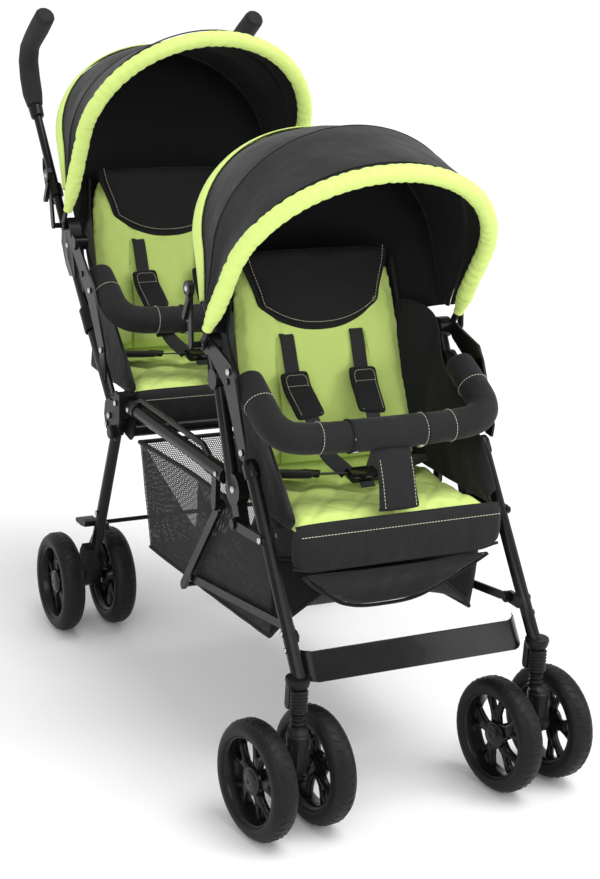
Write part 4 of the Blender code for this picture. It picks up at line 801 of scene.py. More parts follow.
# Repeats made by Geometry Nodes
class Repeat:
    """A Geometry Nodes tree with named inputs, run on a small mesh and turned into a plain one."""

    def __init__(self, name: str, inputs: Sequence[tuple]) -> None:
        """Starts a tree with a geometry input and the named ones.

        Args:
            name: The tree's name.
            inputs: The other inputs, as (name, socket type, default).
        """
        self.tree = bpy.data.node_groups.new(name, "GeometryNodeTree")
        face = self.tree.interface
        face.new_socket("Geometry", in_out="INPUT", socket_type="NodeSocketGeometry")
        self.sockets = {}
        for label, kind, value in inputs:
            socket = face.new_socket(label, in_out="INPUT", socket_type=kind)
            if value is not None:
                socket.default_value = value
            self.sockets[label] = socket.identifier
        face.new_socket("Geometry", in_out="OUTPUT", socket_type="NodeSocketGeometry")
        self.start = self.add("NodeGroupInput")
        self.end = self.add("NodeGroupOutput")

    def add(self, kind: str, settings: Optional[dict] = None,
            links: Optional[dict] = None) -> bpy.types.Node:
        """Adds a node.

        Args:
            kind: The node's type.
            settings: Its own settings.
            links: Values or output sockets for its inputs, by name or number.

        Returns:
            The node.
        """
        made = self.tree.nodes.new(kind)
        for key, value in (settings or {}).items():
            setattr(made, key, value)
        for key, value in (links or {}).items():
            if isinstance(value, bpy.types.NodeSocket):
                self.tree.links.new(value, made.inputs[key])
            else:
                made.inputs[key].default_value = value
        return made

    def close(self, geometry: bpy.types.NodeSocket) -> None:
        """Realizes the instances, sets the finish and ends the tree."""
        real = self.add("GeometryNodeRealizeInstances", None, {0: geometry})
        paint = self.add("GeometryNodeSetMaterial", None, {"Geometry": real.outputs[0],
                                                          "Material": self.start.outputs["Finish"]})
        self.tree.links.new(paint.outputs[0], self.end.inputs[0])

    def given(self, label: str) -> bpy.types.NodeSocket:
        """A named input of the tree."""
        return self.start.outputs[label]

    def scatter(self, points: bpy.types.NodeSocket, shape: bpy.types.NodeSocket, **links: Any) -> None:
        """Sets a shape on points, with the links that turn and size it, and ends the tree."""
        links.update(Points=points, Instance=shape)
        self.close(self.add("GeometryNodeInstanceOnPoints", None, links).outputs[0])

    def run(self, made: bpy.types.Object, **values: Any) -> bpy.types.Object:
        """Runs the tree on an object and keeps the result as a plain mesh."""
        modifier = made.modifiers.new("repeat", "NODES")
        modifier.node_group = self.tree
        for label, value in values.items():
            modifier[self.sockets[label]] = value
        flatten(made)
        made.data.shade_smooth()
        return made


@cache
def stitch_tree() -> Repeat:
    """Short thread bars set end to end along a path."""
    r = Repeat("stitch_row", [("Step", "NodeSocketFloat", 0.005), ("Long", "NodeSocketFloat", 0.0034),
                              ("Thick", "NodeSocketFloat", 0.0005), ("Finish", "NodeSocketMaterial", None)])
    curve = r.add("GeometryNodeMeshToCurve", None, {0: r.given("Geometry")})
    spaced = r.add("GeometryNodeResampleCurve", {"mode": "LENGTH"},
                   {"Curve": curve.outputs[0], "Length": r.given("Step")})
    bar = r.add("GeometryNodeMeshCylinder", None,
                {"Vertices": 5, "Radius": r.given("Thick"), "Depth": r.given("Long")})
    tangent = r.add("GeometryNodeInputTangent")
    aim = r.add("FunctionNodeAlignRotationToVector", {"axis": "Z"}, {"Vector": tangent.outputs[0]})
    r.scatter(spaced.outputs[0], bar.outputs["Mesh"], Rotation=aim.outputs[0])
    return r


@cache
def rivet_tree() -> Repeat:
    """Domed rivet heads on points, each along its own aim and to its own size."""
    r = Repeat("rivet_set", [("Round", "NodeSocketInt", 14), ("Finish", "NodeSocketMaterial", None)])
    dome = r.add("GeometryNodeMeshUVSphere", None, {"Segments": r.given("Round"), "Rings": 8, "Radius": 1.0})
    flat = r.add("GeometryNodeTransform", None, {"Geometry": dome.outputs["Mesh"], "Scale": (1.0, 1.0, 0.42)})
    aim = r.add("GeometryNodeInputNamedAttribute", {"data_type": "FLOAT_VECTOR"}, {"Name": "aim"})
    size = r.add("GeometryNodeInputNamedAttribute", {"data_type": "FLOAT"}, {"Name": "size"})
    turn = r.add("FunctionNodeAlignRotationToVector", {"axis": "Z"}, {"Vector": aim.outputs["Attribute"]})
    r.scatter(r.given("Geometry"), flat.outputs[0], Rotation=turn.outputs[0], Scale=size.outputs["Attribute"])
    return r


@cache
def spin_tree() -> Repeat:
    """Copies of one shape spun about X."""
    r = Repeat("spin_copies", [("Count", "NodeSocketInt", 5), ("Finish", "NodeSocketMaterial", None)])
    spots = r.add("GeometryNodePoints", None, {"Count": r.given("Count")})
    number = r.add("GeometryNodeInputIndex")
    turn = r.add("ShaderNodeMath", {"operation": "DIVIDE"}, {0: number.outputs[0], 1: r.given("Count")})
    angle = r.add("ShaderNodeMath", {"operation": "MULTIPLY"}, {0: turn.outputs[0], 1: 2.0 * math.pi})
    whole = r.add("ShaderNodeCombineXYZ", None, {0: angle.outputs[0]})
    r.scatter(spots.outputs[0], r.given("Geometry"), Rotation=whole.outputs[0])
    return r


def stitches(name: str, path: Sequence[Vector], finish: Finish, body: str, step: float = 0.0052,
             thick: float = 0.00055) -> bpy.types.Object:
    """A row of stitches along a path.

    Args:
        name: The piece's name.
        path: The points that it follows.
        finish: The thread.
        body: The body that it rides on, or "" where it runs between two and is left unattached.
        step: The distance from one stitch to the next.
        thick: The thread's radius.

    Returns:
        The object.
    """
    mesh = bpy.data.meshes.new(name)
    mesh.from_pydata([tuple(p) for p in path], [(k, k + 1) for k in range(len(path) - 1)], [])
    made = shown(name, mesh)
    stitch_tree().run(made, Step=step, Long=step * 0.66, Thick=thick, Finish=finish.material)
    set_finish(made, finish.slot)
    if body:
        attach(made, body)
    return made


def bend(made: bpy.types.Object, seat: Seat, body: str, start: tuple, end: tuple) -> None:
    """Bakes a piece's transform into its mesh; the piece runs from a seat's carrier at one (y, z) to another body
    at the next.
    """
    tuple(place(0.0, *start, seat))
    tuple(place(0.0, *end, seat))
    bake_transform(made)


def rivets(name: str, spots: Sequence[tuple], finish: Finish, body: str) -> bpy.types.Object:
    """Domed rivet heads.

    Args:
        name: The piece's name.
        spots: Where they are, as (point, aim, size).
        finish: What they are made of.
        body: The body that they ride on.

    Returns:
        The object.
    """
    mesh = bpy.data.meshes.new(name)
    mesh.from_pydata([tuple(p) for p, _, _ in spots], [], [])
    aim = mesh.attributes.new("aim", "FLOAT_VECTOR", "POINT")
    aim.data.foreach_set("vector", [c for _, a, _ in spots for c in a])
    size = mesh.attributes.new("size", "FLOAT", "POINT")
    size.data.foreach_set("value", [s for _, _, s in spots])
    made = shown(name, mesh)
    rivet_tree().run(made, Finish=finish.material)
    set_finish(made, finish.slot)
    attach(made, body)
    return made


# Wheels
@dataclass(frozen=True)
class Wheel:
    """One wheel about X at the origin: grooved tyre, dished rim, five forked spokes, hub cap."""

    radius: float = 0.0900
    half: float = 0.0205
    spokes: int = 5
    sipes: int = 40

    def turned(self, name: str, profile: Sequence[tuple], finish: Finish, segments: int) -> bpy.types.Object:
        """A body turned about X.

        Args:
            name: The piece's name.
            profile: Its closed outline, as (along, radius).
            finish: What it is made of.
            segments: Steps in a full turn.

        Returns:
            The object.
        """
        verts = []
        for k in range(segments):
            angle = 2.0 * math.pi * k / segments
            verts += [Vector((x, r * math.cos(angle), r * math.sin(angle))) for x, r in profile]
        return piece(name, verts, tube_faces(segments, len(profile), True), finish)

    def tyre(self) -> bpy.types.Object:
        """Round-shouldered tyre with two grooves round its tread."""
        profile = []
        for n in range(30):
            angle = 2.0 * math.pi * n / 30
            c, s = math.cos(angle), math.sin(angle)
            x = self.half * squared(s, 0.9)
            r = 0.0715 + (0.0185 * c ** 0.75 if c > 0 else 0.0085 * c)
            cut = 0.0012 * max(groove(x - 0.0062, 0.0012), groove(x + 0.0062, 0.0012)) if c > 0.5 else 0.0
            bead = 0.024 * groove(r - 0.0790, 0.0010) if abs(s) > 0.5 else 0.0
            profile.append((x * (1.0 + bead), r - cut))
        return self.turned("tyre", profile, TYRE, 96)

    def tread(self) -> bpy.types.Object:
        """Low chevron bars spun round the tread."""
        line = ((0.0012, 0.0), (0.0052, 0.0022), (0.0080, 0.0040), (0.0128, 0.0062), (0.0160, 0.0070))
        bar = ((-0.0018, -0.0006), (-0.0013, 0.00005), (0.0013, 0.00005), (0.0018, -0.0006))
        verts, faces = [], []
        for side in (-1, 1):
            base = len(verts)
            for x, slant in line:
                curve = 1.0 - math.sqrt(max(0.0, 1.0 - (x / 0.0222) ** 2))
                drop = 0.0 if x < 0.009 else 0.0185 * curve * 0.86
                for w, lift in bar:
                    t = slant + w
                    verts.append(Vector((side * x, t, self.radius - drop + lift - t * t / (2 * self.radius))))
            for face in lattice_faces(len(line), len(bar), base):
                faces.append(face if side > 0 else (face[0], face[3], face[2], face[1]))
        made = piece("tread", verts, faces, TYRE, closed=False)
        return spin_tree().run(made, Count=self.sipes, Finish=TYRE.material)

    def dish(self) -> bpy.types.Object:
        """Rim barrel with a flared lip on the outer side."""
        half = self.half
        profile = ((half * 0.74, 0.0668), (half * 0.84, 0.0660), (half * 0.80, 0.0642),
                   (half * 0.62, 0.0630), (half * 0.30, 0.0600), (-half * 0.35, 0.0585),
                   (-half * 0.62, 0.0600), (-half * 0.76, 0.0640), (-half * 0.74, 0.0668), (0.0, 0.0672))
        return self.turned("dish", profile, RIM, 72)

    def fork(self) -> bpy.types.Object:
        """Five forked spokes, each a plate whose stem parts round a notch into two arms."""
        edge = [(0.0082, 0.0160), (0.0078, 0.0300), (0.0112, 0.0400), (0.0176, 0.0520), (0.0205, 0.0618),
                (0.0100, 0.0648), (0.0090, 0.0540), (0.0062, 0.0450), (0.0030, 0.0412)]
        loop = edge + [(0.0, 0.0402)] + [(-t, r) for t, r in edge[::-1]]
        count = len(loop)
        verts = []
        for x, inset in ((-0.0030, 0.0), (0.0060, 0.0), (0.0076, 0.0012)):
            for k, (t, r) in enumerate(loop):
                along = Vector(loop[(k + 1) % count]) - Vector(loop[k - 1])
                inward = Vector((-along.y, along.x)).normalized() * inset
                verts.append(Vector((x - 0.10 * max(0.0, r - 0.030), t + inward.x, r + inward.y)))
        caps = [tuple(range(count)), tuple(range(3 * count - 1, 2 * count - 1, -1))]
        arm = piece("fork", verts, caps + tube_faces(3, count, False), RIM)
        arm.data.shade_flat()
        return spin_tree().run(arm, Count=self.spokes, Finish=RIM.material)

    def hub(self) -> bpy.types.Object:
        """Hub barrel and its domed cap with a raised ring."""
        profile = ((-self.half, 0.0046), (-self.half, 0.0125), (-self.half * 0.4, 0.0140), (0.0020, 0.0200),
                   (0.0080, 0.0218), (0.0104, 0.0214), (0.0116, 0.0200), (0.0112, 0.0186), (0.0122, 0.0178),
                   (0.0138, 0.0140), (0.0147, 0.0070), (0.0150, 0.0002), (0.0020, 0.0002), (0.0020, 0.0046))
        return self.turned("hub", profile, GLOSS, 40)

    def build(self) -> None:
        """Makes one wheel and sets a copy of it at each of the eight axle ends."""
        masters = {"tyre": joined("tyre_master", [self.tyre(), self.tread()]),
                   "rim": joined("rim_master", [self.dish(), self.fork(), self.hub()])}
        ends = [(end, twin, side) for end in ("front", "rear") for twin in ("outer", "inner")
                for side in Side]
        for end, twin, side in ends:
            node = f"wheel_{end}_{twin}_{side.word}"
            face = side.value if twin == "outer" else -side.value
            where = self.stand(JOINTS[f"{node}_spin"], face, len(node))
            for label, master in masters.items():
                made = shown(f"{node}_{label}", master.data.copy())
                made.data.transform(where)
                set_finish(made, "rubber_black")
                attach(made, node)
                if label == "tyre":
                    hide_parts(node)
            LOG.info("wheel %s", node)
        for master in masters.values():
            bpy.data.objects.remove(master)

    def stand(self, joint: dict, face: int, seed: int) -> Matrix:
        """Where a wheel stands.

        Args:
            joint: The joint that it spins about.
            face: 1 where its outer face looks to +X, or -1.
            seed: Sets how far the wheel is turned on its axle.

        Returns:
            The matrix from the wheel at the origin.
        """
        axis = Vector(joint["axis"]).normalized()
        turn = Matrix.Rotation(math.atan2(axis.y, axis.x), 4, "Z")
        flip = Matrix.Rotation(math.pi if face < 0 else 0.0, 4, "Z")
        spin = Matrix.Rotation(0.5 + 0.9 * seed, 4, "X")
        return Matrix.Translation(Vector(joint["pos_m"])) @ turn @ flip @ spin


# Frame and fittings
@dataclass(frozen=True)
class Metalwork:
    """The frame's own nodes, dressed as merged and softened copies, with their rivets."""

    bevel: float = 0.0006
    sharp: float = math.radians(38.0)
    boot_low: float = 0.1918
    spring: tuple = (0.2030, 0.008, 0.2284)

    def finish_of(self, node: str) -> Finish:
        """The finish of a hard node."""
        if node.startswith("grip"):
            return FOAM
        if node.startswith("suspension_spring"):
            return SPRING
        if node.startswith(("caster_fork", "suspension", "rear_hub", "brake", "release", "latch")):
            return PLASTIC
        return POWDER

    def soften(self, node: str, body: str) -> bpy.types.Object:
        """A merged, smooth-shaded and lightly bevelled copy of a node, which it replaces.

        Args:
            node: The node.
            body: The body that carries it.

        Returns:
            The copy, with its bevel still a modifier.
        """
        source = frame["nodes"][node]
        finish = self.finish_of(node)
        mesh = source.data.copy()
        work = bmesh.new()
        work.from_mesh(mesh)
        bmesh.ops.remove_doubles(work, verts=work.verts, dist=0.000004)
        bmesh.ops.dissolve_limit(work, angle_limit=math.radians(0.6), verts=work.verts, edges=work.edges)
        for edge in work.edges:
            edge.smooth = len(edge.link_faces) == 2 and edge.calc_face_angle(0.0) < self.sharp
        for face in work.faces:
            face.smooth = True
        work.to_mesh(mesh)
        work.free()
        mesh.materials.clear()
        mesh.materials.append(finish.material)
        made = shown(node + "_coated", mesh)
        if mesh.has_custom_normals:
            bpy.context.view_layer.objects.active = made
            bpy.ops.mesh.customdata_custom_splitnormals_clear()
        edge = made.modifiers.new("edge", "BEVEL")
        edge.width, edge.segments, edge.limit_method = self.bevel, 2, "ANGLE"
        edge.angle_limit, edge.harden_normals = self.sharp, True
        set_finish(made, finish.slot)
        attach(made, body)
        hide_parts(node)
        return made

    def rivets_of(self, side: Side) -> dict:
        """Bright rivet heads of one side, by body, as (point, aim, size)."""
        hy, hz = REAR_HUB

        def head(x: float, y: float, z: float, size: float = 0.0046) -> tuple:
            """One rivet head on the outer face."""
            return (place(side.value * x, y, z), (float(side.value), 0.0, 0.0), size)

        return {
            "frame": [head(0.2172, 0.203, 0.525, 0.0056), head(0.2172, 0.258, 0.634, 0.0056),
                      head(0.2065, 0.252, 0.452, 0.0060), head(0.2142, 0.300, 0.463),
                      head(0.2142, 0.675, 0.463), head(0.2222, hy - 0.030, hz + 0.030, 0.0050),
                      head(0.2222, hy + 0.014, hz - 0.018, 0.0050),
                      head(0.2225, hy, hz, 0.0058), head(0.2440, 0.359, 0.741, 0.0050)],
            "push_frame": [head(0.2170, 0.803, 0.538, 0.0056), head(0.2170, 0.864, 0.632, 0.0056),
                           head(0.2145, 0.990, 0.690, 0.0050), head(0.2440, 1.023, 0.813, 0.0050)],
            "front_legs": [head(0.2150, 0.135, 0.411, 0.0052), head(0.2118, 0.042, 0.275),
                           head(0.2118, 0.056, 0.295)],
            "rear_legs": [head(0.2210, 0.808, 0.235)],
        }

    def boot(self, side: Side) -> None:
        """Ribbed rubber boot round the spring of a front leg."""
        x, y, high = self.spring
        ribs, sides = 7, 36
        outer, inner = [], []
        for k in range(ribs * 4 + 1):
            t = k / (ribs * 4)
            swell = 0.0013 * math.cos(2.0 * math.pi * ribs * t)
            outer.append((mix(self.boot_low, high, t), 0.0122 - swell))
            inner.append((mix(self.boot_low, high, t), 0.0108 - swell))
        profile, verts = outer + inner[::-1], []
        for k in range(sides):
            a = 2.0 * math.pi * k / sides
            verts += [place(side.value * x + r * math.cos(a), y + r * math.sin(a), z) for z, r in profile]
        made = piece(f"spring_boot_{side.word}", verts, tube_faces(sides, len(profile), True), TYRE)
        spring = f"suspension_spring_{side.word}"
        bodies = frame["record"]["behaviour"]["bodies"]
        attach(made, next(body for body, nodes in bodies.items() if spring in nodes))
        self.shortens(made)

    def shortens(self, made: bpy.types.Object) -> None:
        """Gives a piece at the spring of one side its own copy of its mesh."""
        tuple(place(*self.spring))
        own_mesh(made)

    def build(self) -> None:
        """Dresses every hard node and sets the rivets."""
        soft = ("wheel", "seat_", "headrest", "harness", "bumper", "crotch", "hood", "calf", "basket")
        for body, nodes in frame["record"]["behaviour"]["bodies"].items():
            for node in nodes:
                if not node.startswith(soft) or node == "basket_strut_frame":
                    made = self.soften(node, body)
                    if node.startswith("suspension_spring"):
                        self.shortens(flatten(made))
                    LOG.info("dressed %s", node)
        for side in Side:
            self.boot(side)
            for body, spots in self.rivets_of(side).items():
                rivets(f"rivets_{body}_{side.word}", spots, STEEL, body)


# Seats
@dataclass(frozen=True)
class SeatPad:
    """Cushion, front roll, back pad, head pad and side wings of one seat."""

    half: float = 0.1735
    lean: float = math.radians(17.0)
    foot: tuple = (0.336, 0.446)
    back_high: float = 0.340
    diamond: float = 0.062

    @property
    def facing(self) -> Vector:
        """The way that the back looks."""
        return Vector((0.0, -math.cos(self.lean), math.sin(self.lean)))

    def on_back(self, x: float, along: float, out: float) -> Vector:
        """A point of the back: across, up its lean, out towards the sitter."""
        s, c = math.sin(self.lean), math.cos(self.lean)
        return place(x, self.foot[0] + along * s - out * c, self.foot[1] + along * c + out * s)

    def cushion(self) -> bpy.types.Object:
        """Lime cushion, blown up and then quilted in soft diamonds."""
        def slab(u: float, v: float) -> tuple:
            """Points of its upper and lower side."""
            y = mix(0.1045 + 0.004 * u * u, 0.3260, v)
            x = u * (self.half - 0.004 * (1.0 - v) - 0.003 * math.sin(math.pi * v))
            middle = mix(0.4245, 0.4270, v) - 0.003 * math.sin(math.pi * v)
            deep = 0.0045 + 0.0080 * fullness(u, v, 6, 7)
            return place(x, y, middle + deep), place(x, y, middle - deep)

        def quilt(spot: Vector, normal: Vector) -> Vector:
            """Diamond channels and hand-soft waves on the upper side."""
            if normal.z < 0.2:
                return spot
            x, y, dip = spot.x, spot.y - SHIFT, 0.0
            for slant in (0.9, -0.9):
                off = abs(((x + y * slant) / self.diamond) % 1.0 - 0.5) * self.diamond
                dip = max(dip, 0.0032 * groove(self.diamond / 2.0 - off, 0.0085))
            wave = 0.0017 * ripple(x * 22.0, y * 26.0, 1.7)
            return spot + normal * (wave - dip) * min(1.0, (normal.z - 0.2) * 2.0)

        made = stuffed(pad("seat_cushion", 14, 18, slab, LIME), LIME, 0.0065)
        edit_points(made, quilt)
        return rounder(backed(made, UPWARD, LINING))

    def roll(self) -> bpy.types.Object:
        """Black padded front of the seat, puckered along its sewn edges."""
        path = [place(u * 0.1765, 0.0985 + 0.0025 * u ** 4, 0.4030) for u in np.linspace(-1.0, 1.0, 61)]

        def section(share: float, angle: float) -> tuple:
            """Tall rounded slab, drawn in at its ends."""
            u = 2.0 * share - 1.0
            end = (1.0 - abs(u) ** 14) ** 0.5 if abs(u) < 1.0 else 0.0
            c, s = math.cos(angle), math.sin(angle)
            seams = max(groove(u + 0.36, 0.02), groove(u - 0.33, 0.02))
            pucker = 1.0 + 0.055 * ripple(u * 9.0, s * 1.3, 4.0) - 0.05 * seams
            deep = 0.0118 * squared(c, 0.9) * pucker * (0.35 + 0.65 * end)
            tall = 0.0355 * squared(s, 0.9) * (0.72 + 0.28 * end)
            if s < 0.0:
                tall *= 1.0 - 0.16 * ease((abs(u) - 0.80) / 0.20)
            return (deep, tall)

        return rounder(sweep("seat_roll", path, section, CHARCOAL, UPWARD, sides=28))

    def back(self) -> bpy.types.Object:
        """Lime back pad with two long sewn seams."""
        rising = Vector((0.0, math.sin(self.lean), math.cos(self.lean)))
        foot = place(0.0, *self.foot)

        def slab(u: float, v: float) -> tuple:
            """Points of its front and back."""
            x = u * (mix(0.1570, 0.1415, v) + 0.004 * math.sin(v * math.pi) - 0.018 * v ** 14)
            along = 0.003 + (self.back_high - 0.004 - 0.006 * u * u * v) * v
            deep = 0.0040 + 0.0060 * fullness(u, v, 6, 9)
            return self.on_back(x, along, deep), self.on_back(x, along, -deep)

        def sew(spot: Vector, normal: Vector) -> Vector:
            """Two seams, a pulled band under the head pad, and soft waves."""
            if normal.dot(self.facing) < 0.15:
                return spot
            rise = (spot - foot).dot(rising)
            seam = 0.0042 * groove(abs(spot.x) - self.seam_at(rise), 0.0060)
            pull = 0.0016 * groove(rise - 0.205, 0.006) * (1.0 if abs(spot.x) < 0.08 else 0.3)
            wave = 0.0034 * ripple(spot.x * 17.0, rise * 21.0, 8.1)
            wave += 0.0009 * ripple(spot.x * 55.0, rise * 38.0, 3.3)
            return spot + normal * (wave - seam - pull)

        made = stuffed(pad("seat_back_pad", 20, 18, slab, LIME), LIME, 0.0055)
        edit_points(made, sew)
        return rounder(backed(made, self.facing, LINING))

    def seam_at(self, rise: float) -> float:
        """How far out the long seams stand at a height of the back."""
        return 0.0800 + 0.0100 * ease((0.09 - rise) / 0.09) - 0.010 * ease((rise - 0.16) / 0.1)

    def head(self) -> bpy.types.Object:
        """Black head pad with a bowl-shaped lower edge."""
        def slab(u: float, v: float) -> tuple:
            """Points of its front and back."""
            along, half = self.head_edge(u, v)
            deep = 0.0022 + 0.0048 * fullness(u, v, 8, 9)
            lift, x = 0.0150 - 0.0015 * u * u, u * half
            return self.on_back(x, along, lift + deep), self.on_back(x, along, lift - deep * 0.6)

        def wave(spot: Vector, normal: Vector) -> Vector:
            """Soft vertical waves across the pad."""
            return spot + normal * 0.0010 * ripple(spot.x * 26.0, 2.0, spot.z * 9.0)

        made = stuffed(pad("head_pad", 12, 20, slab, CHARCOAL), CHARCOAL, 0.0030, voxel=0.0042)
        edit_points(made, wave)
        return rounder(made)

    def head_edge(self, u: float, v: float) -> tuple:
        """(along, half width) of the head pad at a share across and up."""
        low = 0.2150 + 0.042 * abs(u) ** 2.3
        high = 0.3500 - 0.006 * u * u
        half = mix(0.1040, 0.1340, ease(v * 0.9) * 0.45 + v * 0.55) - 0.004 * v ** 8
        return mix(low, high, v), half

    def wing(self, side: Side) -> bpy.types.Object:
        """Black side panel from the seat's edge up to the bar and back to the back pad."""
        top = [(0.118, 0.4530), (0.150, 0.4975), (0.185, 0.5335), (0.222, 0.5615), (0.262, 0.5865),
               (0.295, 0.6080), (0.318, 0.6420), (0.338, 0.6760), (0.362, 0.6930), (0.390, 0.6960),
               (0.414, 0.6900)]
        rows = []
        for point in smooth_path([Vector((0.0, y, z)) for y, z in top], 44):
            t = ease((point.y - 0.318) / 0.090)
            foot = Vector((0.0, min(point.y, mix(0.322, 0.344, t)), mix(0.4290, 0.4420, t)))
            row = []
            for j in range(17):
                v = j / 16.0
                x = self.half + 0.004 * v - 0.010 * math.sin(v * math.pi) * (1.0 - 0.5 * t)
                x += 0.012 * ease((point.y - 0.30) / 0.05) * (1.0 - t) * v - (0.0180 + 0.010 * v) * t
                x += 0.0016 * ripple(point.y * 22.0, v * 4.0, 5.0)
                spot = mix(foot, point, v)
                row.append(place(side.value * x, spot.y, spot.z))
            rows.append(row)
        return rounder(flatten(grid(f"wing_{side.word}", rows, CHARCOAL, 0.0045)))

    def crease(self, seat: Seat) -> None:
        """Lime cloth that closes the crease between a seat's cushion and its back."""
        line = [(0.3150, 0.4275), (0.3240, 0.4290), (0.3330, 0.4320), (0.3395, 0.4390), (0.3440, 0.4500),
                (0.3480, 0.4640)]
        run = smooth_path([Vector((0.0, y, z)) for y, z in line], 14)
        rows = [[place(u * 0.1560, spot.y, spot.z, seat) for u in np.linspace(-1.0, 1.0, 25)] for spot in run]
        made = flatten(grid(f"seat_crease_{seat.value}", rows, LIME, 0.0014))
        bend(made, seat, f"back_{seat.value}", line[0], line[-1])
        hang(made, rows)

    def rides(self, made: bpy.types.Object, seat: Seat, kind: str) -> None:
        """Puts a piece of a seat on its body, or bakes a wing's transform and leaves it unattached.

        Args:
            made: The piece.
            seat: The seat.
            kind: "back", "seat", or "wing" for a piece that runs between the two.
        """
        if kind == "back":
            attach(made, f"back_{seat.value}")
        elif kind == "wing":
            bend(made, seat, f"back_{seat.value}", (0.312, 0.50), (0.350, 0.50))
        else:
            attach(made, seat.carrier)

    def bound(self, name: str, path: Sequence[Vector], radius: float, seat: Seat, kind: str) -> None:
        """An edge cord on a seat."""
        self.rides(cord_of(f"{name}_{seat.value}", path, radius, PIPING, sides=8), seat, kind)

    def seat_trims(self, seat: Seat) -> None:
        """Edge cords and stitches of one seat's front roll."""
        low, high = [], []
        for u in np.linspace(-1.0, 1.0, 49):
            drop = 0.0050 * ease((abs(u) - 0.80) / 0.20)
            low.append(place(0.174 * u, 0.0965 + 0.002 * u ** 6, 0.3685 + drop, seat))
        for u in np.linspace(-1.0, 1.0, 25):
            high.append(place(0.171 * u, 0.1030, 0.4375 - 0.002 * u ** 8, seat))
        self.bound("seat_edge_low", low, 0.0026, seat, "seat")
        self.bound("seat_edge_high", high, 0.0026, seat, "seat")
        line = [place(x, 0.0888, 0.4245, seat) for x in np.linspace(-0.166, 0.166, 41)]
        stitches(f"seat_stitch_{seat.value}", line, CREAM, seat.carrier)

    def head_trims(self, seat: Seat) -> None:
        """Edge cord and stitches round one head pad."""
        path = [(-1.0, v) for v in (1.0, 0.75, 0.5, 0.25)]
        path += [(u, 0.0) for u in np.linspace(-1.0, 1.0, 33)]
        path += [(1.0, v) for v in (0.25, 0.5, 0.75, 1.0)]
        edge, inside = [], []
        for u, v in path:
            along, half = self.head_edge(u, mix(0.022, 0.985, v))
            edge.append(self.on_back(u * half * 0.985, along, 0.0152) + seat.move)
            along, half = self.head_edge(u * 0.92, mix(0.090, 0.97, v))
            inside.append(self.on_back(u * 0.92 * half, along, 0.0236) + seat.move)
        self.bound("head_edge", smooth_path(edge, 70), 0.0032, seat, "back")
        stitches(f"head_stitch_{seat.value}", smooth_path(inside, 120), CREAM, f"back_{seat.value}")

    def back_trims(self, seat: Seat, side: Side) -> None:
        """Stitched seam, a darker cord of painted seam shade laid in it, and edge cord on one side of a back."""
        tag, heights = f"{seat.value}_{side.word}", (0.01, 0.05, 0.09, 0.13, 0.17, 0.205)
        seam = [self.on_back(side.value * (self.seam_at(r) + 0.003), r, 0.0138) + seat.move for r in heights]
        stitches(f"back_stitch_{tag}", smooth_path(seam, 60), LIME_THREAD_AND_SEAM_SHADE, f"back_{seat.value}", step=0.0050,
                 thick=0.0006)
        # Darker lime cord sunk in the seam: painted seam shade.
        fold = [self.on_back(side.value * self.seam_at(r), r, 0.0117) + seat.move for r in heights]
        cord = cord_of(f"back_seam_{tag}", smooth_path(fold, 50), 0.0013, LIME_THREAD_AND_SEAM_SHADE)
        self.rides(cord, seat, "back")
        rim = []
        for v in np.linspace(0.0, 1.0, 14):
            half = mix(0.1590, 0.1435, v) + 0.004 * math.sin(v * math.pi)
            rim.append(self.on_back(side.value * half, 0.004 + 0.325 * v, 0.0040) + seat.move)
        cord = cord_of(f"back_edge_{tag}", smooth_path(rim, 40), 0.0034, PIPING, sides=8)
        self.rides(cord, seat, "back")

    def build(self) -> None:
        """Makes the pads once and sets them on both seats."""
        pads = [("cushion", self.cushion(), "seat", "seat_base", 0.7), ("roll", self.roll(), "seat", "", 0.7),
                ("back", self.back(), "back", "seat_back", 0.6),
                ("head", self.head(), "back", "headrest", 0.5)]
        wings = [(side, self.wing(side)) for side in Side]
        for seat in Seat:
            for label, master, kind, node, fill in pads:
                made = copied(master, f"{label}_pad_{seat.value}", seat.move)
                self.rides(made, seat, kind)
                if node:
                    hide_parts(f"{node}_{seat.value}")
                LOG.info("pad %s", made.name)
            for side, master in wings:
                made = copied(master, f"side_wing_{seat.value}_{side.word}", seat.move)
                self.rides(made, seat, "wing")
            self.crease(seat)
            self.seat_trims(seat)
            self.head_trims(seat)
            for side in Side:
                self.back_trims(seat, side)
        for master in [p[1] for p in pads] + [w[1] for w in wings]:
            bpy.data.objects.remove(master)


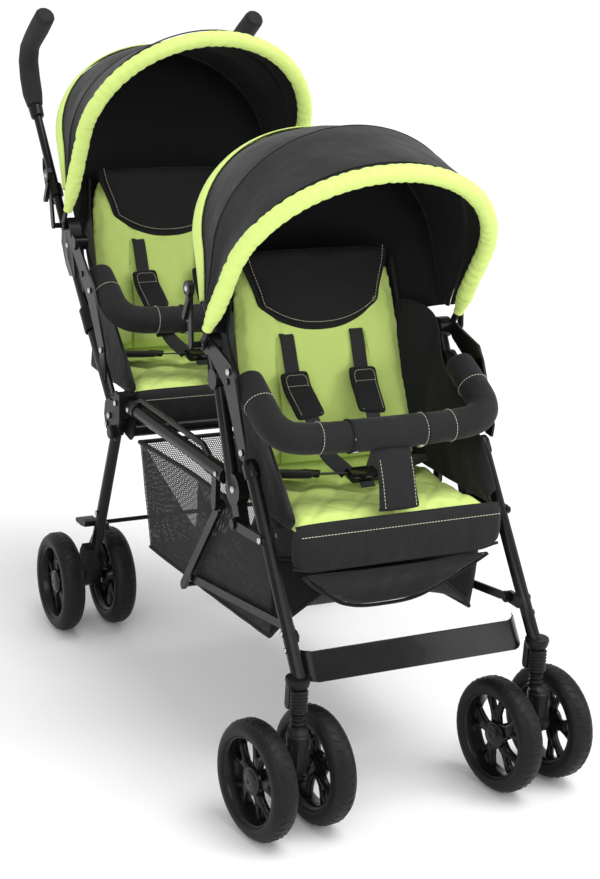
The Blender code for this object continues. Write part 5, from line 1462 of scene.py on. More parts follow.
# Straps
@dataclass(frozen=True)
class Harness:
    """Shoulder straps with pads, waist webbing, sliders and the buckle of one seat."""

    seats: SeatPad = SeatPad()

    def strap(self, name: str, path: Sequence[Vector], half: float, up: Vector) -> bpy.types.Object:
        """Flat webbing along a path."""
        return sweep(name, smooth_path(path, max(24, len(path) * 6)), oval(half, 0.0009, 0.5), WEB, up)

    def shoulder_pad(self, name: str, path: Sequence[Vector], up: Vector) -> bpy.types.Object:
        """Padded sleeve on a strap, full in the middle and drawn in at its ends.

        Args:
            name: The piece's name.
            path: The points that it follows.
            up: The way that its face looks.

        Returns:
            The object.
        """
        def section(share: float, angle: float) -> tuple:
            """Rounded slab that closes at both ends."""
            end = (1.0 - abs(2.0 * share - 1.0) ** 10) ** 0.5
            c, s = math.cos(angle), math.sin(angle)
            puff = 1.0 + 0.10 * ripple(share * 7.0, c, s)
            return (0.0245 * (0.80 + 0.20 * end) * squared(c, 0.6),
                    (0.0016 + 0.0042 * end * puff) * squared(s, 0.8))

        return rounder(sweep(name, smooth_path(path, 30), section, CHARCOAL, up, sides=20))

    def block(self, name: str, centre: Vector, size: tuple, turn: Matrix, finish: Finish) -> bpy.types.Object:
        """A moulded block with rounded edges and a raised lip round its face.

        Args:
            name: The piece's name.
            centre: Its middle.
            size: Its sizes.
            turn: How it is turned, as a 3 x 3 matrix.
            finish: What it is made of.

        Returns:
            The object.
        """
        mesh = bpy.data.meshes.new(name)
        work = bmesh.new()
        bmesh.ops.create_cube(work, size=1.0)
        bmesh.ops.scale(work, vec=size, verts=work.verts)
        top = [f for f in work.faces if f.normal.z > 0.9]
        bmesh.ops.inset_region(work, faces=top, thickness=min(size[0], size[1]) * 0.16, depth=0.0)
        inner = list({v for f in top for v in f.verts})
        bmesh.ops.translate(work, vec=(0.0, 0.0, -size[2] * 0.16), verts=inner)
        bmesh.ops.bevel(work, geom=list(work.edges), offset=min(size) * 0.16, segments=3, affect="EDGES")
        bmesh.ops.transform(work, matrix=Matrix.Translation(centre) @ turn.to_4x4(), verts=work.verts)
        work.to_mesh(mesh)
        work.free()
        mesh.materials.append(finish.material)
        mesh.shade_smooth()
        made = shown(name, mesh)
        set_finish(made, finish.slot)
        return made

    def shoulder(self, seat: Seat, side: Side) -> bpy.types.Object:
        """One shoulder strap down to the buckle, with its sewn pad.

        Args:
            seat: The seat.
            side: Which of its straps.

        Returns:
            The strap.
        """
        s, tag, out = side.value, f"{seat.value}_{side.word}", self.seats.facing
        start = self.seats.on_back(s * 0.062, 0.2140, 0.0085) + seat.move
        lip = self.seats.on_back(s * 0.0618, 0.2060, 0.0170) + seat.move
        mid = self.seats.on_back(s * 0.060, 0.130, 0.0290) + seat.move
        low = place(s * 0.054, 0.300, 0.540, seat)
        knee = place(s * 0.046, 0.262, 0.494, seat)
        web = self.strap(f"web_{tag}", [start, lip, mid, low, knee, self.near(seat, side)], 0.0125, out)
        line = [mix(lip, mid, 0.72), mix(mid, low, 0.10), mix(mid, low, 0.55), mix(mid, low, 1.05)]
        line = [p + out * 0.0015 for p in line]
        pad_made = self.shoulder_pad(f"shoulder_pad_{tag}", line, out)
        bend(pad_made, seat, f"back_{seat.value}", (0.300, 0.50), (0.345, 0.60))
        route = smooth_path(line, 30)
        rim = [route[k] + out * 0.0056 - ACROSS * s * 0.0175 for k in (26, 18, 10, 4)]
        rim += [route[2] + out * 0.0056 + ACROSS * s * x for x in (-0.012, 0.0, 0.012)]
        rim += [route[k] + out * 0.0056 + ACROSS * s * 0.0175 for k in (4, 10, 18, 26)]
        across = [route[8] + out * 0.0062 + ACROSS * x for x in np.linspace(-0.016, 0.016, 9)]
        for k, row in enumerate((smooth_path(rim, 60), across)):
            sewn = stitches(f"pad_stitch_{tag}_{k}", row, CREAM, "", step=0.0042, thick=0.00045)
            bend(sewn, seat, f"back_{seat.value}", (0.300, 0.50), (0.345, 0.60))
        return web

    def near(self, seat: Seat, side: Side) -> Vector:
        """Where the straps of one side meet the buckle."""
        return place(side.value * 0.022, 0.232, 0.4660, seat)

    def waist(self, seat: Seat, side: Side) -> bpy.types.Object:
        """One waist strap, with its pad and the slider and clip beside the buckle.

        Args:
            seat: The seat.
            side: Which of its straps.

        Returns:
            The strap, whose bending is still to be set.
        """
        s, tag, up = side.value, f"{seat.value}_{side.word}", Vector((0.0, 0.2, 1.0))
        hip, mid = place(s * 0.150, 0.306, 0.4560, seat), place(s * 0.088, 0.252, 0.4640, seat)
        near = self.near(seat, side)
        web = self.strap(f"waist_{tag}", [hip, mid, near], 0.0115, up)
        line = [mix(hip, mid, 0.30), mix(hip, mid, 0.75), mix(mid, near, 0.25)]
        pad_made = self.shoulder_pad(f"hip_pad_{tag}", line, up)
        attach(pad_made, seat.carrier)
        slider = self.block(f"slider_{tag}", place(s * 0.0485, 0.2665, 0.4990, seat), (0.034, 0.022, 0.0075),
                            Matrix.Rotation(math.radians(-40.0), 3, "X"), PLASTIC)
        clip = self.block(f"clip_{tag}", place(s * 0.078, 0.2455, 0.4668, seat), (0.028, 0.020, 0.0080),
                          Matrix.Rotation(s * 0.55, 3, "Z"), PLASTIC)
        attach(slider, seat.carrier)
        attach(clip, seat.carrier)
        return web

    def build(self, seat: Seat) -> None:
        """Makes the harness of one seat."""
        straps = [make(seat, side) for side in Side for make in (self.shoulder, self.waist)]
        crotch = [place(0.0, y, z, seat) for y, z in ((0.222, 0.4620), (0.212, 0.4580), (0.202, 0.4500))]
        straps.append(self.strap(f"web_low_{seat.value}", crotch, 0.0125, UPWARD))
        for made in straps:
            bend(made, seat, f"back_{seat.value}", (0.305, 0.50), (0.345, 0.60))
        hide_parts(f"harness_{seat.value}")
        buckle = self.block(f"buckle_{seat.value}", place(0.0, 0.2240, 0.4640, seat), (0.050, 0.032, 0.0150),
                            Matrix.Rotation(0.12, 3, "X"), GLOSS)
        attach(buckle, seat.carrier)
        LOG.info("harness %s", seat.value)


@dataclass(frozen=True)
class Bar:
    """Padded bumper bar of one seat with its sewn sleeve and the strap down to the seat."""

    radius: float = 0.0240
    edges: tuple = (58, 91)

    def path(self, seat: Seat) -> list:
        """The bar's own centre line."""
        half = [(0.183, 0.262, 0.618), (0.183, 0.2160, 0.5932), (0.182, 0.1845, 0.5750),
                (0.173, 0.1672, 0.5628), (0.153, 0.1600, 0.5545), (0.113, 0.1590, 0.5504),
                (0.050, 0.1580, 0.5490)]
        points = half + [(-x, y, z) for x, y, z in half[::-1]]
        return smooth_path([place(*p, seat) for p in points], 150)

    def cover(self, seat: Seat) -> bpy.types.Object:
        """Cloth cover, creased at the bends and by the sleeve."""
        def section(share: float, angle: float) -> tuple:
            """Round, with creases that run round the bar."""
            u = abs(2.0 * share - 1.0)
            bend = groove(u - 0.62, 0.10) + 0.6 * groove(u - 0.27, 0.035)
            fold = ripple(share * 46.0, math.cos(angle) * 0.9, math.sin(angle) * 0.9)
            lines = math.sin(share * 330.0 + 2.0 * math.sin(angle)) * (0.4 + 0.6 * math.cos(angle - 0.6))
            end = min(1.0, (1.0 - u) / 0.02)
            r = self.radius * (0.90 + 0.10 * math.sqrt(max(0.0, end)))
            r *= 1.0 + 0.022 * fold + 0.016 * bend * lines
            return round_section(r, angle)

        made = sweep(f"bar_cover_{seat.value}", self.path(seat), section, CHARCOAL, UPWARD, sides=28)
        return rounder(made)

    def ring(self, seat: Seat, at: int, grow: float) -> list:
        """A closed loop round the bar.

        Args:
            seat: The seat that the bar belongs to.
            at: Which point of the bar's path it goes round.
            grow: Its radius as a multiple of the bar's.

        Returns:
            The loop's points, with the first one again at the end.
        """
        path = self.path(seat)
        tangent = (path[at + 1] - path[at - 1]).normalized()
        side = tangent.cross(UPWARD).normalized()
        top, radius = side.cross(tangent), self.radius * grow
        return [path[at] + side * radius * math.cos(a) + top * radius * math.sin(a)
                for a in np.linspace(0.0, 2.0 * math.pi, 37)]

    def sleeve(self, seat: Seat) -> bpy.types.Object:
        """Wide band sewn round the middle of the bar."""
        def section(share: float, angle: float) -> tuple:
            """Just over the cover."""
            grow = 1.045 * (1.0 + 0.006 * ripple(share * 12.0, angle, 2.0))
            return round_section(self.radius * grow, angle)

        first, last = self.edges
        return sweep(f"bar_sleeve_{seat.value}", self.path(seat)[first:last + 1], section, CHARCOAL, UPWARD,
                     sides=36)

    def strap(self, seat: Seat) -> bpy.types.Object:
        """Band from under the bar down to the front of the seat."""
        line = [(0.1560, 0.5245), (0.1390, 0.5300), (0.1270, 0.5150), (0.1160, 0.4900), (0.1070, 0.4620),
                (0.1030, 0.4500), (0.1060, 0.4435)]
        path = smooth_path([place(0.0, y, z, seat) for y, z in line], 40)

        def section(share: float, angle: float) -> tuple:
            """Flat and rounded, a little waisted, cupped across."""
            c, s = math.cos(angle), math.sin(angle)
            wide = 0.0350 - 0.0040 * math.sin(math.pi * share)
            a = wide * squared(c, 0.45)
            return (a, 0.0014 * squared(s, 0.6) - 1.2 * a * a)

        up = Vector((0.0, -1.0, 0.3))
        return rounder(sweep(f"crotch_band_{seat.value}", path, section, CHARCOAL, up, sides=20))

    def build(self, seat: Seat) -> None:
        """Makes the bar of one seat."""
        tag, body = seat.value, f"bar_{seat.value}"
        cover = self.cover(seat)
        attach(cover, body)
        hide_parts(f"bumper_bar_{tag}")
        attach(self.sleeve(seat), body)
        for k, at in enumerate((14, 46, 59, 91, 104, 135)):
            loop = self.ring(seat, at, 1.062 if at in (59, 91) else 1.030)
            stitches(f"bar_stitch_{tag}_{k}", loop, CREAM, body, step=0.0048, thick=0.0005)
        for k, at in enumerate(self.edges):
            loop = self.ring(seat, at, 1.050)[:-1]
            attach(cord_of(f"bar_edge_{tag}_{k}", loop, 0.0012, PIPING, closed=True), body)
        band, span = self.strap(seat), ((0.110, 0.455), (0.140, 0.520))
        bend(band, seat, body, *span)
        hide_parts(f"crotch_strap_{tag}")
        for side in Side:
            row = [place(side.value * 0.0262, y, z, seat) for y, z in
                   ((0.1230, 0.5170), (0.1115, 0.4905), (0.1025, 0.4630), (0.0988, 0.4525))]
            line = stitches(f"band_stitch_{tag}_{side.word}", smooth_path(row, 40), CREAM, "", thick=0.0005)
            bend(line, seat, body, *span)
        snaps = [(place(s * 0.056, 0.1480, 0.5262, seat), (0.0, -0.45, -0.89), 0.0062) for s in (-1, 1)]
        rivets(f"bar_snaps_{tag}", snaps, STEEL, body)
        LOG.info("bar %s", tag)


# Hoods
@dataclass(frozen=True)
class Bow:
    """Sizes of one hood: its pivot, lean and the curves of its front and middle bows."""

    pivot: tuple
    lean: float
    wide: float
    foot_wide: float
    side: float
    high: float
    mid_side: float
    mid_high: float
    low: tuple = (0.452, 0.625)
    split: float = 8.0
    back: float = -25.0
    roll: float = 0.0140
    fore_flat: tuple = (0.80, 0.10)

    def half(self, reach: float, side: float, high: float, grow: float) -> float:
        """Half width of a bow.

        Args:
            reach: The height along it.
            side: The height at which its arch starts.
            high: The height of its top.
            grow: How far outside the bow to measure.

        Returns:
            The half width.
        """
        w, wb, h = self.wide + grow, self.foot_wide + grow, high + grow
        if reach <= side:
            u = 1.0 - reach / side
            return w - (w - wb) * u * u
        return w * math.sqrt(max(0.0, 1.0 - ((reach - side) / (h - side)) ** 2))

    def line(self, share: float, steps: int, foot: float, grow: float = 0.0) -> list:
        """(x, s) points over the bow, from one foot to the other.

        Args:
            share: The share of the way from the front bow to the middle one.
            steps: Points on one half.
            foot: The height at which the line starts.
            grow: How far outside the bow it runs.

        Returns:
            The points, with s the height along the bow.
        """
        side, high = mix(self.side, self.mid_side, share), mix(self.high, self.mid_high, share)
        w, h = self.wide + grow, high + grow
        run = []
        straight = steps // 3
        for k in range(straight):
            s = mix(foot, side, k / straight)
            run.append((self.half(s, side, high, grow), s))
        for k in range(steps - straight + 1):
            angle = math.pi / 2.0 * k / (steps - straight)
            run.append((w * math.cos(angle), side + (h - side) * math.sin(angle)))
        return [(-x, s) for x, s in run] + [(x, s) for x, s in run[-2::-1]]

    def point(self, x: float, s: float, lean: float) -> Vector:
        """A point at a height along a bow leaning forward by so many degrees."""
        angle = math.radians(lean)
        return place(x, self.pivot[0] - s * math.sin(angle), self.pivot[1] + s * math.cos(angle))


@dataclass(frozen=True)
class Hood:
    """One hood: puckered lime roll, fore and aft cloths, seams, lime rear band and curtain."""

    bow: Bow
    tag: str
    carrier: str
    steps: int = 30
    band: float = 0.032
    aft: int = 15

    def roll(self) -> bpy.types.Object:
        """Padded roll, gathered over its bow in small puckers."""
        line = self.bow.line(0.0, 96, 0.031)
        path = smooth_path([self.bow.point(x, s, self.bow.lean) for x, s in line], 260)

        def section(share: float, angle: float) -> tuple:
            """Round, with gathers that run round the roll and fade to its feet."""
            u = abs(2.0 * share - 1.0)
            taper = 0.60 + 0.40 * ease((1.0 - u) / 0.10)
            at = share * 52.0 + 0.7 * ripple(share * 30.0, 1.0, 2.0) + 0.10 * math.sin(angle)
            dent = groove((at % 1.0) - 0.5, 0.15)
            wander = angle * 0.5 + 0.4 + 2.0 * ripple(share * 22.0, 0.0, 3.0)
            depth = 0.35 + 0.65 * abs(math.sin(wander))
            r = self.bow.roll * taper * (1.0 - 0.165 * dent * depth)
            return round_section(r * (1.0 + 0.03 * ripple(share * 17.0, math.cos(angle), 9.0)), angle)

        lean = math.radians(self.bow.lean)
        up = Vector((0.0, math.cos(lean), math.sin(lean)))
        return rounder(sweep(f"hood_roll_cover_{self.tag}", path, section, LIME_TRIM, up, sides=20))

    def fore(self) -> bpy.types.Object:
        """Cloth from the roll back to the middle bow."""
        across = 18
        lines = [self.bow.line(j / across, self.steps, 0.040) for j in range(across + 1)]
        rows = [[self.fore_point(*spot, j / across) for j, spot in enumerate(row)] for row in zip(*lines)]
        return grid(f"hood_fore_cloth_{self.tag}", rows, HOOD_CLOTH, 0.0012, LINING, self.middle)

    def fore_point(self, x: float, s: float, t: float) -> Vector:
        """A point of the fore cloth.

        Args:
            x: Its distance across on the bow's own line.
            s: Its height along the bow.
            t: Its share of the way from the roll to the middle bow.

        Returns:
            The point.
        """
        begin = self.bow.lean - math.degrees(math.atan((self.bow.roll * 0.85) / s))
        sag = -0.0050 * math.sin(math.pi * t) * min(1.0, s / self.bow.side)
        sag += 0.0036 * ripple(x * 14.0, t * 2.2, s * 9.0) * math.sin(math.pi * t)
        sag -= 0.0010 * groove(t - 0.93, 0.03)
        stretch = 1.0 + (sag + 0.0015) / max(s, 0.05)
        return self.bow.point(x * self.tuck(s) * stretch ** 0.6, s * stretch, mix(begin, self.bow.split, t))

    def tuck(self, s: float) -> float:
        """How far the cloth is drawn in towards its feet."""
        return 1.0 - 0.030 * ease((0.075 - s) / 0.035)

    @property
    def middle(self) -> Vector:
        """A point inside the hood."""
        return self.bow.point(0.0, 0.10, 0.0)

    def aft_rows(self) -> list:
        """Points of the aft cloth and then the curtain, one row for each point over the bow."""
        bow = self.bow
        line = bow.line(1.0, self.steps, 0.036, -0.0065)
        lifted = bow.line((bow.lean - bow.split - 4.0) / (bow.lean - bow.split), self.steps, 0.036, -0.0040)
        rows = []
        for i, ((x, s), (lift_x, lift_s)) in enumerate(zip(line, lifted)):
            row = []
            for j in range(self.aft):
                t = j / (self.aft - 1)
                rise = ease(1.0 - t / 0.20)
                sag = -0.0045 * math.sin(math.pi * t) * min(1.0, s / bow.side)
                sag += 0.0034 * ripple(x * 13.0, t * 2.0 + 5.0, s * 9.0) * math.sin(math.pi * t)
                wide = mix(x, lift_x, rise) * self.tuck(s) * (1.0 + sag * 2.5)
                row.append(bow.point(wide, mix(s, lift_s, rise) + sag, mix(bow.split + 4.0, bow.back, t)))
            rows.append(row + self.curtain_row(row[-1], i / (len(line) - 1)))
        return rows

    def curtain_row(self, last: Vector, share: float) -> list:
        """Points of the curtain from the rear edge of the aft cloth down to its hem.

        Args:
            last: The point on that edge.
            share: Its share of the width, from one side of the hood to the other.

        Returns:
            The points.
        """
        rise = 0.030 * (2.0 * share - 1.0) ** 2
        y, z = self.bow.low
        low = place(mix(-0.165, 0.165, share), y - rise, z + rise)
        row = []
        for j in range(1, 9):
            t = j / 8.0
            spot = mix(last, low, t)
            spot.x = mix(last.x, low.x, t ** 0.6)
            spot.y += (0.010 + 0.0018 * ripple(share * 9.0, t * 2.0, 3.0)) * math.sin(math.pi * t)
            row.append(spot)
        return row

    def along_bow(self, name: str, share: float, lean: float, lift: float, radius: float,
                  foot: float) -> None:
        """A bound seam over the hood.

        Args:
            name: What the piece's name starts with.
            share: The share of the way from the front bow's shape to the middle one's.
            lean: The angle at which it stands, in degrees forward.
            lift: How far outside the bow it runs.
            radius: Its own radius.
            foot: The height at which it starts.
        """
        path = [self.bow.point(x, s, lean) for x, s in self.bow.line(share, 40, foot, lift)]
        cord = cord_of(f"{name}_{self.tag}", smooth_path(path, 120), radius, PIPING, sides=8)
        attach(cord, f"hood_{self.tag}")

    def gathered(self, made: bpy.types.Object) -> None:
        """Bakes a cloth's transform into its mesh. The cloth runs between the rear bow, which the frame carries,
        and the moving front.
        """
        rear = self.bow.point(0.0, 0.33, self.bow.back)
        front = self.bow.point(0.0, 0.33, self.bow.split + 4.0)
        front.z = rear.z
        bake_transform(made)

    def build(self) -> None:
        """Makes the hood."""
        body = f"hood_{self.tag}"
        roll = self.roll()
        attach(roll, body)
        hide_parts(f"hood_roll_{self.tag}")
        fore = self.fore()
        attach(fore, body)
        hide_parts(f"hood_fore_{self.tag}")
        rows, band_rows = self.aft_rows(), self.band_rows()
        aft_rows, curtain_rows = [row[:self.aft] for row in rows], [row[self.aft - 1:] for row in rows]
        aft = grid(f"hood_aft_cloth_{self.tag}", aft_rows, HOOD_CLOTH, 0.0012, LINING, self.middle)
        curtain = grid(f"hood_curtain_{self.tag}", curtain_rows, LINING, 0.0012)
        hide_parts(f"hood_aft_{self.tag}")
        band = grid(f"hood_band_{self.tag}", band_rows, LIME_TRIM, 0.0020)
        self.along_bow("hood_seam", 1.0, self.bow.split + 0.15, 0.0012, 0.0018, 0.066)
        self.along_bow("hood_line", 0.0, self.bow.lean - 3.8, 0.0014, 0.0012, 0.080)
        for made in (aft, band):
            self.gathered(flatten(made))
        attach(curtain, self.carrier)
        hang(aft, aft_rows)
        hang(band, band_rows)
        hang(curtain, curtain_rows)
        for side in Side:
            self.hinge(side, body)
        LOG.info("hood %s", self.tag)

    def band_rows(self) -> list:
        """Lime band sewn over the rear edge of the aft cloth."""
        rows = []
        for x, s in self.bow.line(1.0, self.steps, 0.064, -0.0050):
            row = []
            front = self.bow.back + min(13.0, math.degrees(self.band / s))
            for j in range(6):
                t = j / 5.0
                swell = 0.0014 * math.sin(math.pi * t)
                lean = mix(front, self.bow.back - 0.3, t)
                row.append(self.bow.point(x * (1.0 + swell * 3.0), s + swell + 0.0012, lean))
            rows.append(row)
        return rows

    def hinge(self, side: Side, body: str) -> None:
        """Moulded joint of the bow at its pivot, with its pin."""
        s = side.value
        py, pz = self.bow.pivot
        lean, eye, stem, top = math.radians(self.bow.lean), 0.0094, (0.0064, 0.0085), (0.0058, 0.034)
        outline = [top, stem]
        outline += [(eye * math.sin(a), eye * math.cos(a)) for a in np.radians(np.linspace(43.0, 317.0, 22))]
        outline += [(-stem[0], stem[1]), (-top[0], top[1])]
        verts = []
        for x in (0.2160, 0.2204):
            for a, b in outline:
                y = py - b * math.sin(lean) + a * math.cos(lean)
                z = pz + b * math.cos(lean) + a * math.sin(lean)
                verts.append(place(s * x, y, z))
        n = len(outline)
        faces = [tuple(range(n)), tuple(range(2 * n - 1, n - 1, -1))] + tube_faces(2, n, False)
        made = piece(f"hood_hinge_{self.tag}_{side.word}", verts, faces, PLASTIC)
        made.data.shade_flat()
        edge = made.modifiers.new("edge", "BEVEL")
        edge.width, edge.segments = 0.0008, 2
        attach(made, body)
        pin = (place(s * 0.2206, py, pz), (float(s), 0.0, 0.0), 0.0050)
        rivets(f"hood_pin_{self.tag}_{side.word}", [pin], STEEL, body)


# Basket and calf flap
@dataclass(frozen=True)
class Basket:
    """Net basket hung in the frame, with a darker front panel and bound edges."""

    half: float = 0.1805
    top: tuple = ((0.160, 0.372), (0.325, 0.412), (0.512, 0.407), (0.700, 0.396))
    low: tuple = ((0.168, 0.2420), (0.290, 0.2340), (0.417, 0.2270), (0.655, 0.2180))
    rise: float = 0.072
    taper: float = 0.005

    def curve(self, line: Sequence[tuple], t: float) -> Vector:
        """A point of a side line by share of its length in steps."""
        at = t * (len(line) - 1)
        k = min(int(at), len(line) - 2)
        y, z = mix(Vector(line[k]), Vector(line[k + 1]), at - k)
        return Vector((0.0, y, z))

    def arch(self, u: float) -> float:
        """How far the front's lower edge is raised."""
        return min(1.0, (1.0 - abs(u)) / 0.47) ** 0.8

    def wall(self, side: Side) -> list:
        """Rows of one side wall."""
        def point(v: float, t: float) -> Vector:
            """A point by its shares down and back."""
            spot = mix(self.curve(self.top, t), self.curve(self.low, t), v)
            bulge = 0.0035 * math.sin(math.pi * v) * math.sin(math.pi * t)
            bulge += 0.0016 * ripple(t * 6.0, v * 3.0, side.value)
            x = mix(self.half, self.half - self.taper, v) + bulge
            return place(side.value * x, spot.y, spot.z)

        return lattice(11, 40, point)

    def doubled(self, side: Side) -> list:
        """Rows of the second layer inside a side wall, which leaves the upper rear corner single."""
        made = []
        for column in zip(*self.wall(side)):
            y = column[0].y - SHIFT
            high = 0.50 * (0.695 - y) / 0.185 if y > 0.510 else 0.50 * ease((y - 0.440) / 0.070)
            start = mix(column[0], column[-1], max(0.0, high)) - ACROSS * side.value * 0.0030
            end = column[-1] - ACROSS * side.value * 0.0030
            made.append([mix(start, end, k / 10.0) for k in range(11)])
        return [list(row) for row in zip(*made)]

    def front(self) -> list:
        """Rows of the front panel with its arched lower edge."""
        top, low = self.top[0], self.low[0]

        def point(v: float, t: float) -> Vector:
            """A point by its shares down and across."""
            u = -1.0 + 2.0 * t
            arch = self.arch(u)
            a = Vector((u * self.half, top[0], top[1] - 0.018 * (1.0 - u * u)))
            b = Vector((u * (self.half - self.taper), low[0] - 0.020 * arch, low[1] + self.rise * arch))
            spot = mix(a, b, v)
            return place(spot.x, spot.y - 0.004 * math.sin(math.pi * v), spot.z)

        return lattice(11, 33, point)

    def rear(self) -> list:
        """Rows of the rear wall."""
        def point(v: float, t: float) -> Vector:
            """A point by its shares down and across."""
            u = -1.0 + 2.0 * t
            y, z = mix(Vector(self.top[-1]), Vector(self.low[-1]), v)
            bulge = 0.006 * math.sin(math.pi * v) * (1.0 - u * u)
            return place(u * mix(self.half, self.half - self.taper, v), y + bulge, z)

        return lattice(11, 25, point)

    def floor(self) -> list:
        """Rows of the sagging floor."""
        def point(t: float, s: float) -> Vector:
            """A point by its shares back and across."""
            u, spot = -1.0 + 2.0 * s, self.curve(self.low, t)
            sag = 0.004 * (1.0 - u * u) * math.sin(math.pi * t)
            y = spot.y - 0.020 * self.arch(u) * (1.0 - t) ** 3
            z = max(0.2215, spot.z - sag) + self.rise * self.arch(u) * (1.0 - t) ** 6
            return place(u * (self.half - self.taper), y, z)

        return lattice(40, 33, point)

    def build(self) -> None:
        """Makes the basket."""
        walls = {side: self.wall(side) for side in Side}
        front, rear = self.front(), self.rear()
        sheets = [(f"basket_side_{side.word}", walls[side], NET, 0.0) for side in Side]
        sheets += [(f"basket_double_{side.word}", self.doubled(side), DENSE_NET, 0.0) for side in Side]
        sheets += [("basket_front", front, LINING, 0.0012), ("basket_rear", rear, NET, 0.0),
                   ("basket_floor", self.floor(), DENSE_NET, 0.0)]
        made, cords = [grid(*sheet) for sheet in sheets], []
        for side in Side:
            cords += [(f"basket_rim_{side.word}", walls[side][0], 0.0042),
                      (f"basket_low_{side.word}", walls[side][-1], 0.0030)]
        cords += [("basket_arch", front[-1], 0.0034), ("basket_lip", front[0], 0.0034),
                  ("basket_back_rim", rear[0], 0.0036), ("basket_back_low", rear[-1], 0.0030)]
        for name, points, radius in cords:
            made.append(cord_of(name, smooth_path(points, 90), radius, PIPING, sides=8))
        for part in made:
            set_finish(part, "mesh_black")
            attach(part, "frame")
            tuple(place(0.0, 0.42, 0.41))
            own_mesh(part)
            if part.name == "basket_floor":
                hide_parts("basket")
        for k in (0, 2, 1, 3, 4, 5, 6):  # each side with its second layer
            hang(made[k], sheets[k][1])
        LOG.info("basket")


@dataclass(frozen=True)
class CalfFlap:
    """Padded flap hung from the front of the seat."""

    half: tuple = (0.160, 0.082)
    high: tuple = (0.3620, 0.2860)
    ahead: tuple = (0.0960, 0.1300)

    def spot(self, u: float, v: float, out: float) -> Vector:
        """A point by its shares across and down, so far ahead of the middle."""
        x = u * mix(self.half[0], self.half[1], v ** 1.15)
        y = mix(self.ahead[0], self.ahead[1], v) + 0.004 * (1.0 - u * u) * math.sin(v * math.pi)
        return place(x, y - out, mix(self.high[0], self.high[1] + 0.014 * abs(u) ** 3, v))

    def build(self) -> None:
        """Makes the flap."""
        def slab(u: float, v: float) -> tuple:
            """Points of its front and back."""
            deep = 0.0015 + 0.0040 * fullness(u, v, 6, 8)
            return self.spot(u, v, deep), self.spot(u, v, -deep)

        made = stuffed(pad("calf_pad", 12, 24, slab, CHARCOAL), CHARCOAL, 0.0030, voxel=0.0042)
        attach(rounder(made), "calf_flap")
        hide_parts("calf_flap")
        heights = (0.05, 0.3, 0.6, 0.85)
        path = [self.spot(-1.0, v, 0.0) for v in heights]
        path += [self.spot(u, 1.0, 0.0) for u in np.linspace(-0.95, 0.95, 21)]
        path += [self.spot(1.0, v, 0.0) for v in heights[::-1]]
        cord = cord_of("calf_edge", smooth_path(path, 90), 0.0030, PIPING, sides=8)
        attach(cord, "calf_flap")
        LOG.info("calf flap")


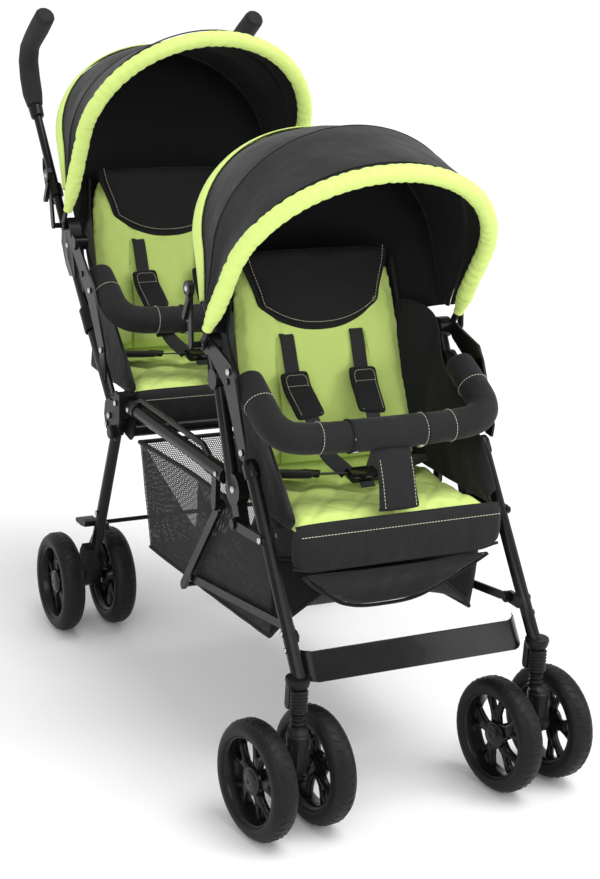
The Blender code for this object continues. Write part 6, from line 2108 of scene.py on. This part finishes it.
# Studio
@dataclass(frozen=True)
class Studio:
    """Pale floor, soft light and the camera."""

    spot: tuple = (-1.26917, -2.07465, 1.29743)
    turn: float = -26.766
    tilt: float = 16.603
    roll: float = 2.424
    lens: float = 73.18
    reach: float = 60.0

    def staged(self, name: str, data: bpy.types.ID, where: Matrix) -> bpy.types.Object:
        """Something of the studio, set in its place."""
        made = shown(name, data)
        made.matrix_world = where
        return made

    def floor(self) -> None:
        """Wide pale ground."""
        b = Brew("pale_floor")
        mottle = b.cloud(b.coords(), 3.0, 3.0)
        shade = b.dress(Base_Color=b.blend(mottle, (0.90, 0.90, 0.90), (0.92, 0.92, 0.92)),
                        Roughness=(mottle - 0.5) * 0.05 + 0.85)
        mesh = bpy.data.meshes.new("floor")
        corners = [(x * self.reach, y * self.reach, 0.0) for x, y in ((-1, -1), (1, -1), (1, 1), (-1, 1))]
        mesh.from_pydata(corners, [], [(0, 1, 2, 3)])
        mesh.materials.append(shade)
        self.staged("floor", mesh, Matrix())

    def world(self) -> None:
        """White to the camera, softer as a light and in reflections."""
        world = bpy.data.worlds.new("studio")
        bpy.context.scene.world = world
        world.use_nodes = True
        tree = world.node_tree
        tree.nodes.clear()
        kinds = ("ShaderNodeLightPath", "ShaderNodeMath", "ShaderNodeBackground", "ShaderNodeBackground",
                 "ShaderNodeMixShader", "ShaderNodeOutputWorld")
        rays, seen_by, lit, seen, both, end = (tree.nodes.new(kind) for kind in kinds)
        seen_by.operation, seen_by.use_clamp = "ADD", True
        for node, strength in ((lit, 0.74), (seen, 1.0)):
            node.inputs["Color"].default_value = (1.0, 1.0, 1.0, 1.0)
            node.inputs["Strength"].default_value = strength
        for start, finish in ((rays.outputs["Is Camera Ray"], seen_by.inputs[0]),
                              (rays.outputs["Is Transmission Ray"], seen_by.inputs[1]),
                              (seen_by.outputs[0], both.inputs[0]), (lit.outputs[0], both.inputs[1]),
                              (seen.outputs[0], both.inputs[2]), (both.outputs[0], end.inputs["Surface"])):
            tree.links.new(start, finish)

    def lamps(self) -> None:
        """Broad overhead light and two large soft panels."""
        sun = bpy.data.lights.new("sky_panel", "SUN")
        sun.energy, sun.angle = 1.55, math.radians(35.0)
        self.staged("sky_panel", sun, Vector((0.25, -0.30, 1.0)).to_track_quat("Z", "Y").to_matrix().to_4x4())
        for name, spot, size, power in (("side_panel", (2.6, -2.4, 1.9), 1.8, 30.0),
                                        ("front_panel", (-2.4, -3.2, 2.4), 2.0, 34.0)):
            lamp = bpy.data.lights.new(name, "AREA")
            lamp.size, lamp.energy = size, power
            back = Vector(spot) - Vector((0.0, 0.0, 0.55))
            aim = back.to_track_quat("Z", "Y").to_matrix().to_4x4()
            self.staged(name, lamp, Matrix.Translation(spot) @ aim)

    def camera(self) -> None:
        """The product view."""
        a, e, r = (math.radians(v) for v in (self.turn, self.tilt, self.roll))
        back = Vector((math.sin(a) * math.cos(e), -math.cos(a) * math.cos(e), math.sin(e)))
        right = (-back).cross(UPWARD).normalized()
        up = right.cross(-back)
        side = right * math.cos(r) + up * math.sin(r)
        top = up * math.cos(r) - right * math.sin(r)
        lens = bpy.data.cameras.new("product_view")
        lens.lens, lens.sensor_width, lens.clip_end = self.lens, 36.0, 200.0
        turn = Matrix((side, top, back)).transposed().to_4x4()
        where = Matrix.Translation(place(*self.spot)) @ turn
        bpy.context.scene.camera = self.staged("product_view", lens, where)

    def build(self) -> None:
        """Sets the studio up."""
        self.floor()
        self.world()
        self.lamps()
        self.camera()
        bpy.context.scene.view_settings.view_transform = "Standard"
        LOG.info("studio")


FRONT_BOW = Bow((0.350, 0.655), 34.2, 0.214, 0.224, 0.153, 0.341, 0.150, 0.334)
REAR_BOW = Bow((1.000, 0.725), 27.7, 0.213, 0.216, 0.191, 0.393, 0.158, 0.337, low=(1.097, 0.660),
               fore_flat=(0.85, 0.085))


def main() -> None:
    """Builds every sub-assembly in turn and the studio round them."""
    logging.basicConfig(level=logging.INFO, format="%(message)s")
    Metalwork().build()
    Wheel().build()
    SeatPad().build()
    for seat in Seat:
        Harness().build(seat)
        Bar().build(seat)
    Hood(FRONT_BOW, "front", "frame").build()
    Hood(REAR_BOW, "rear", "push_frame").build()
    Basket().build()
    CalfFlap().build()
    Studio().build()


if __name__ == "__main__":
    main()
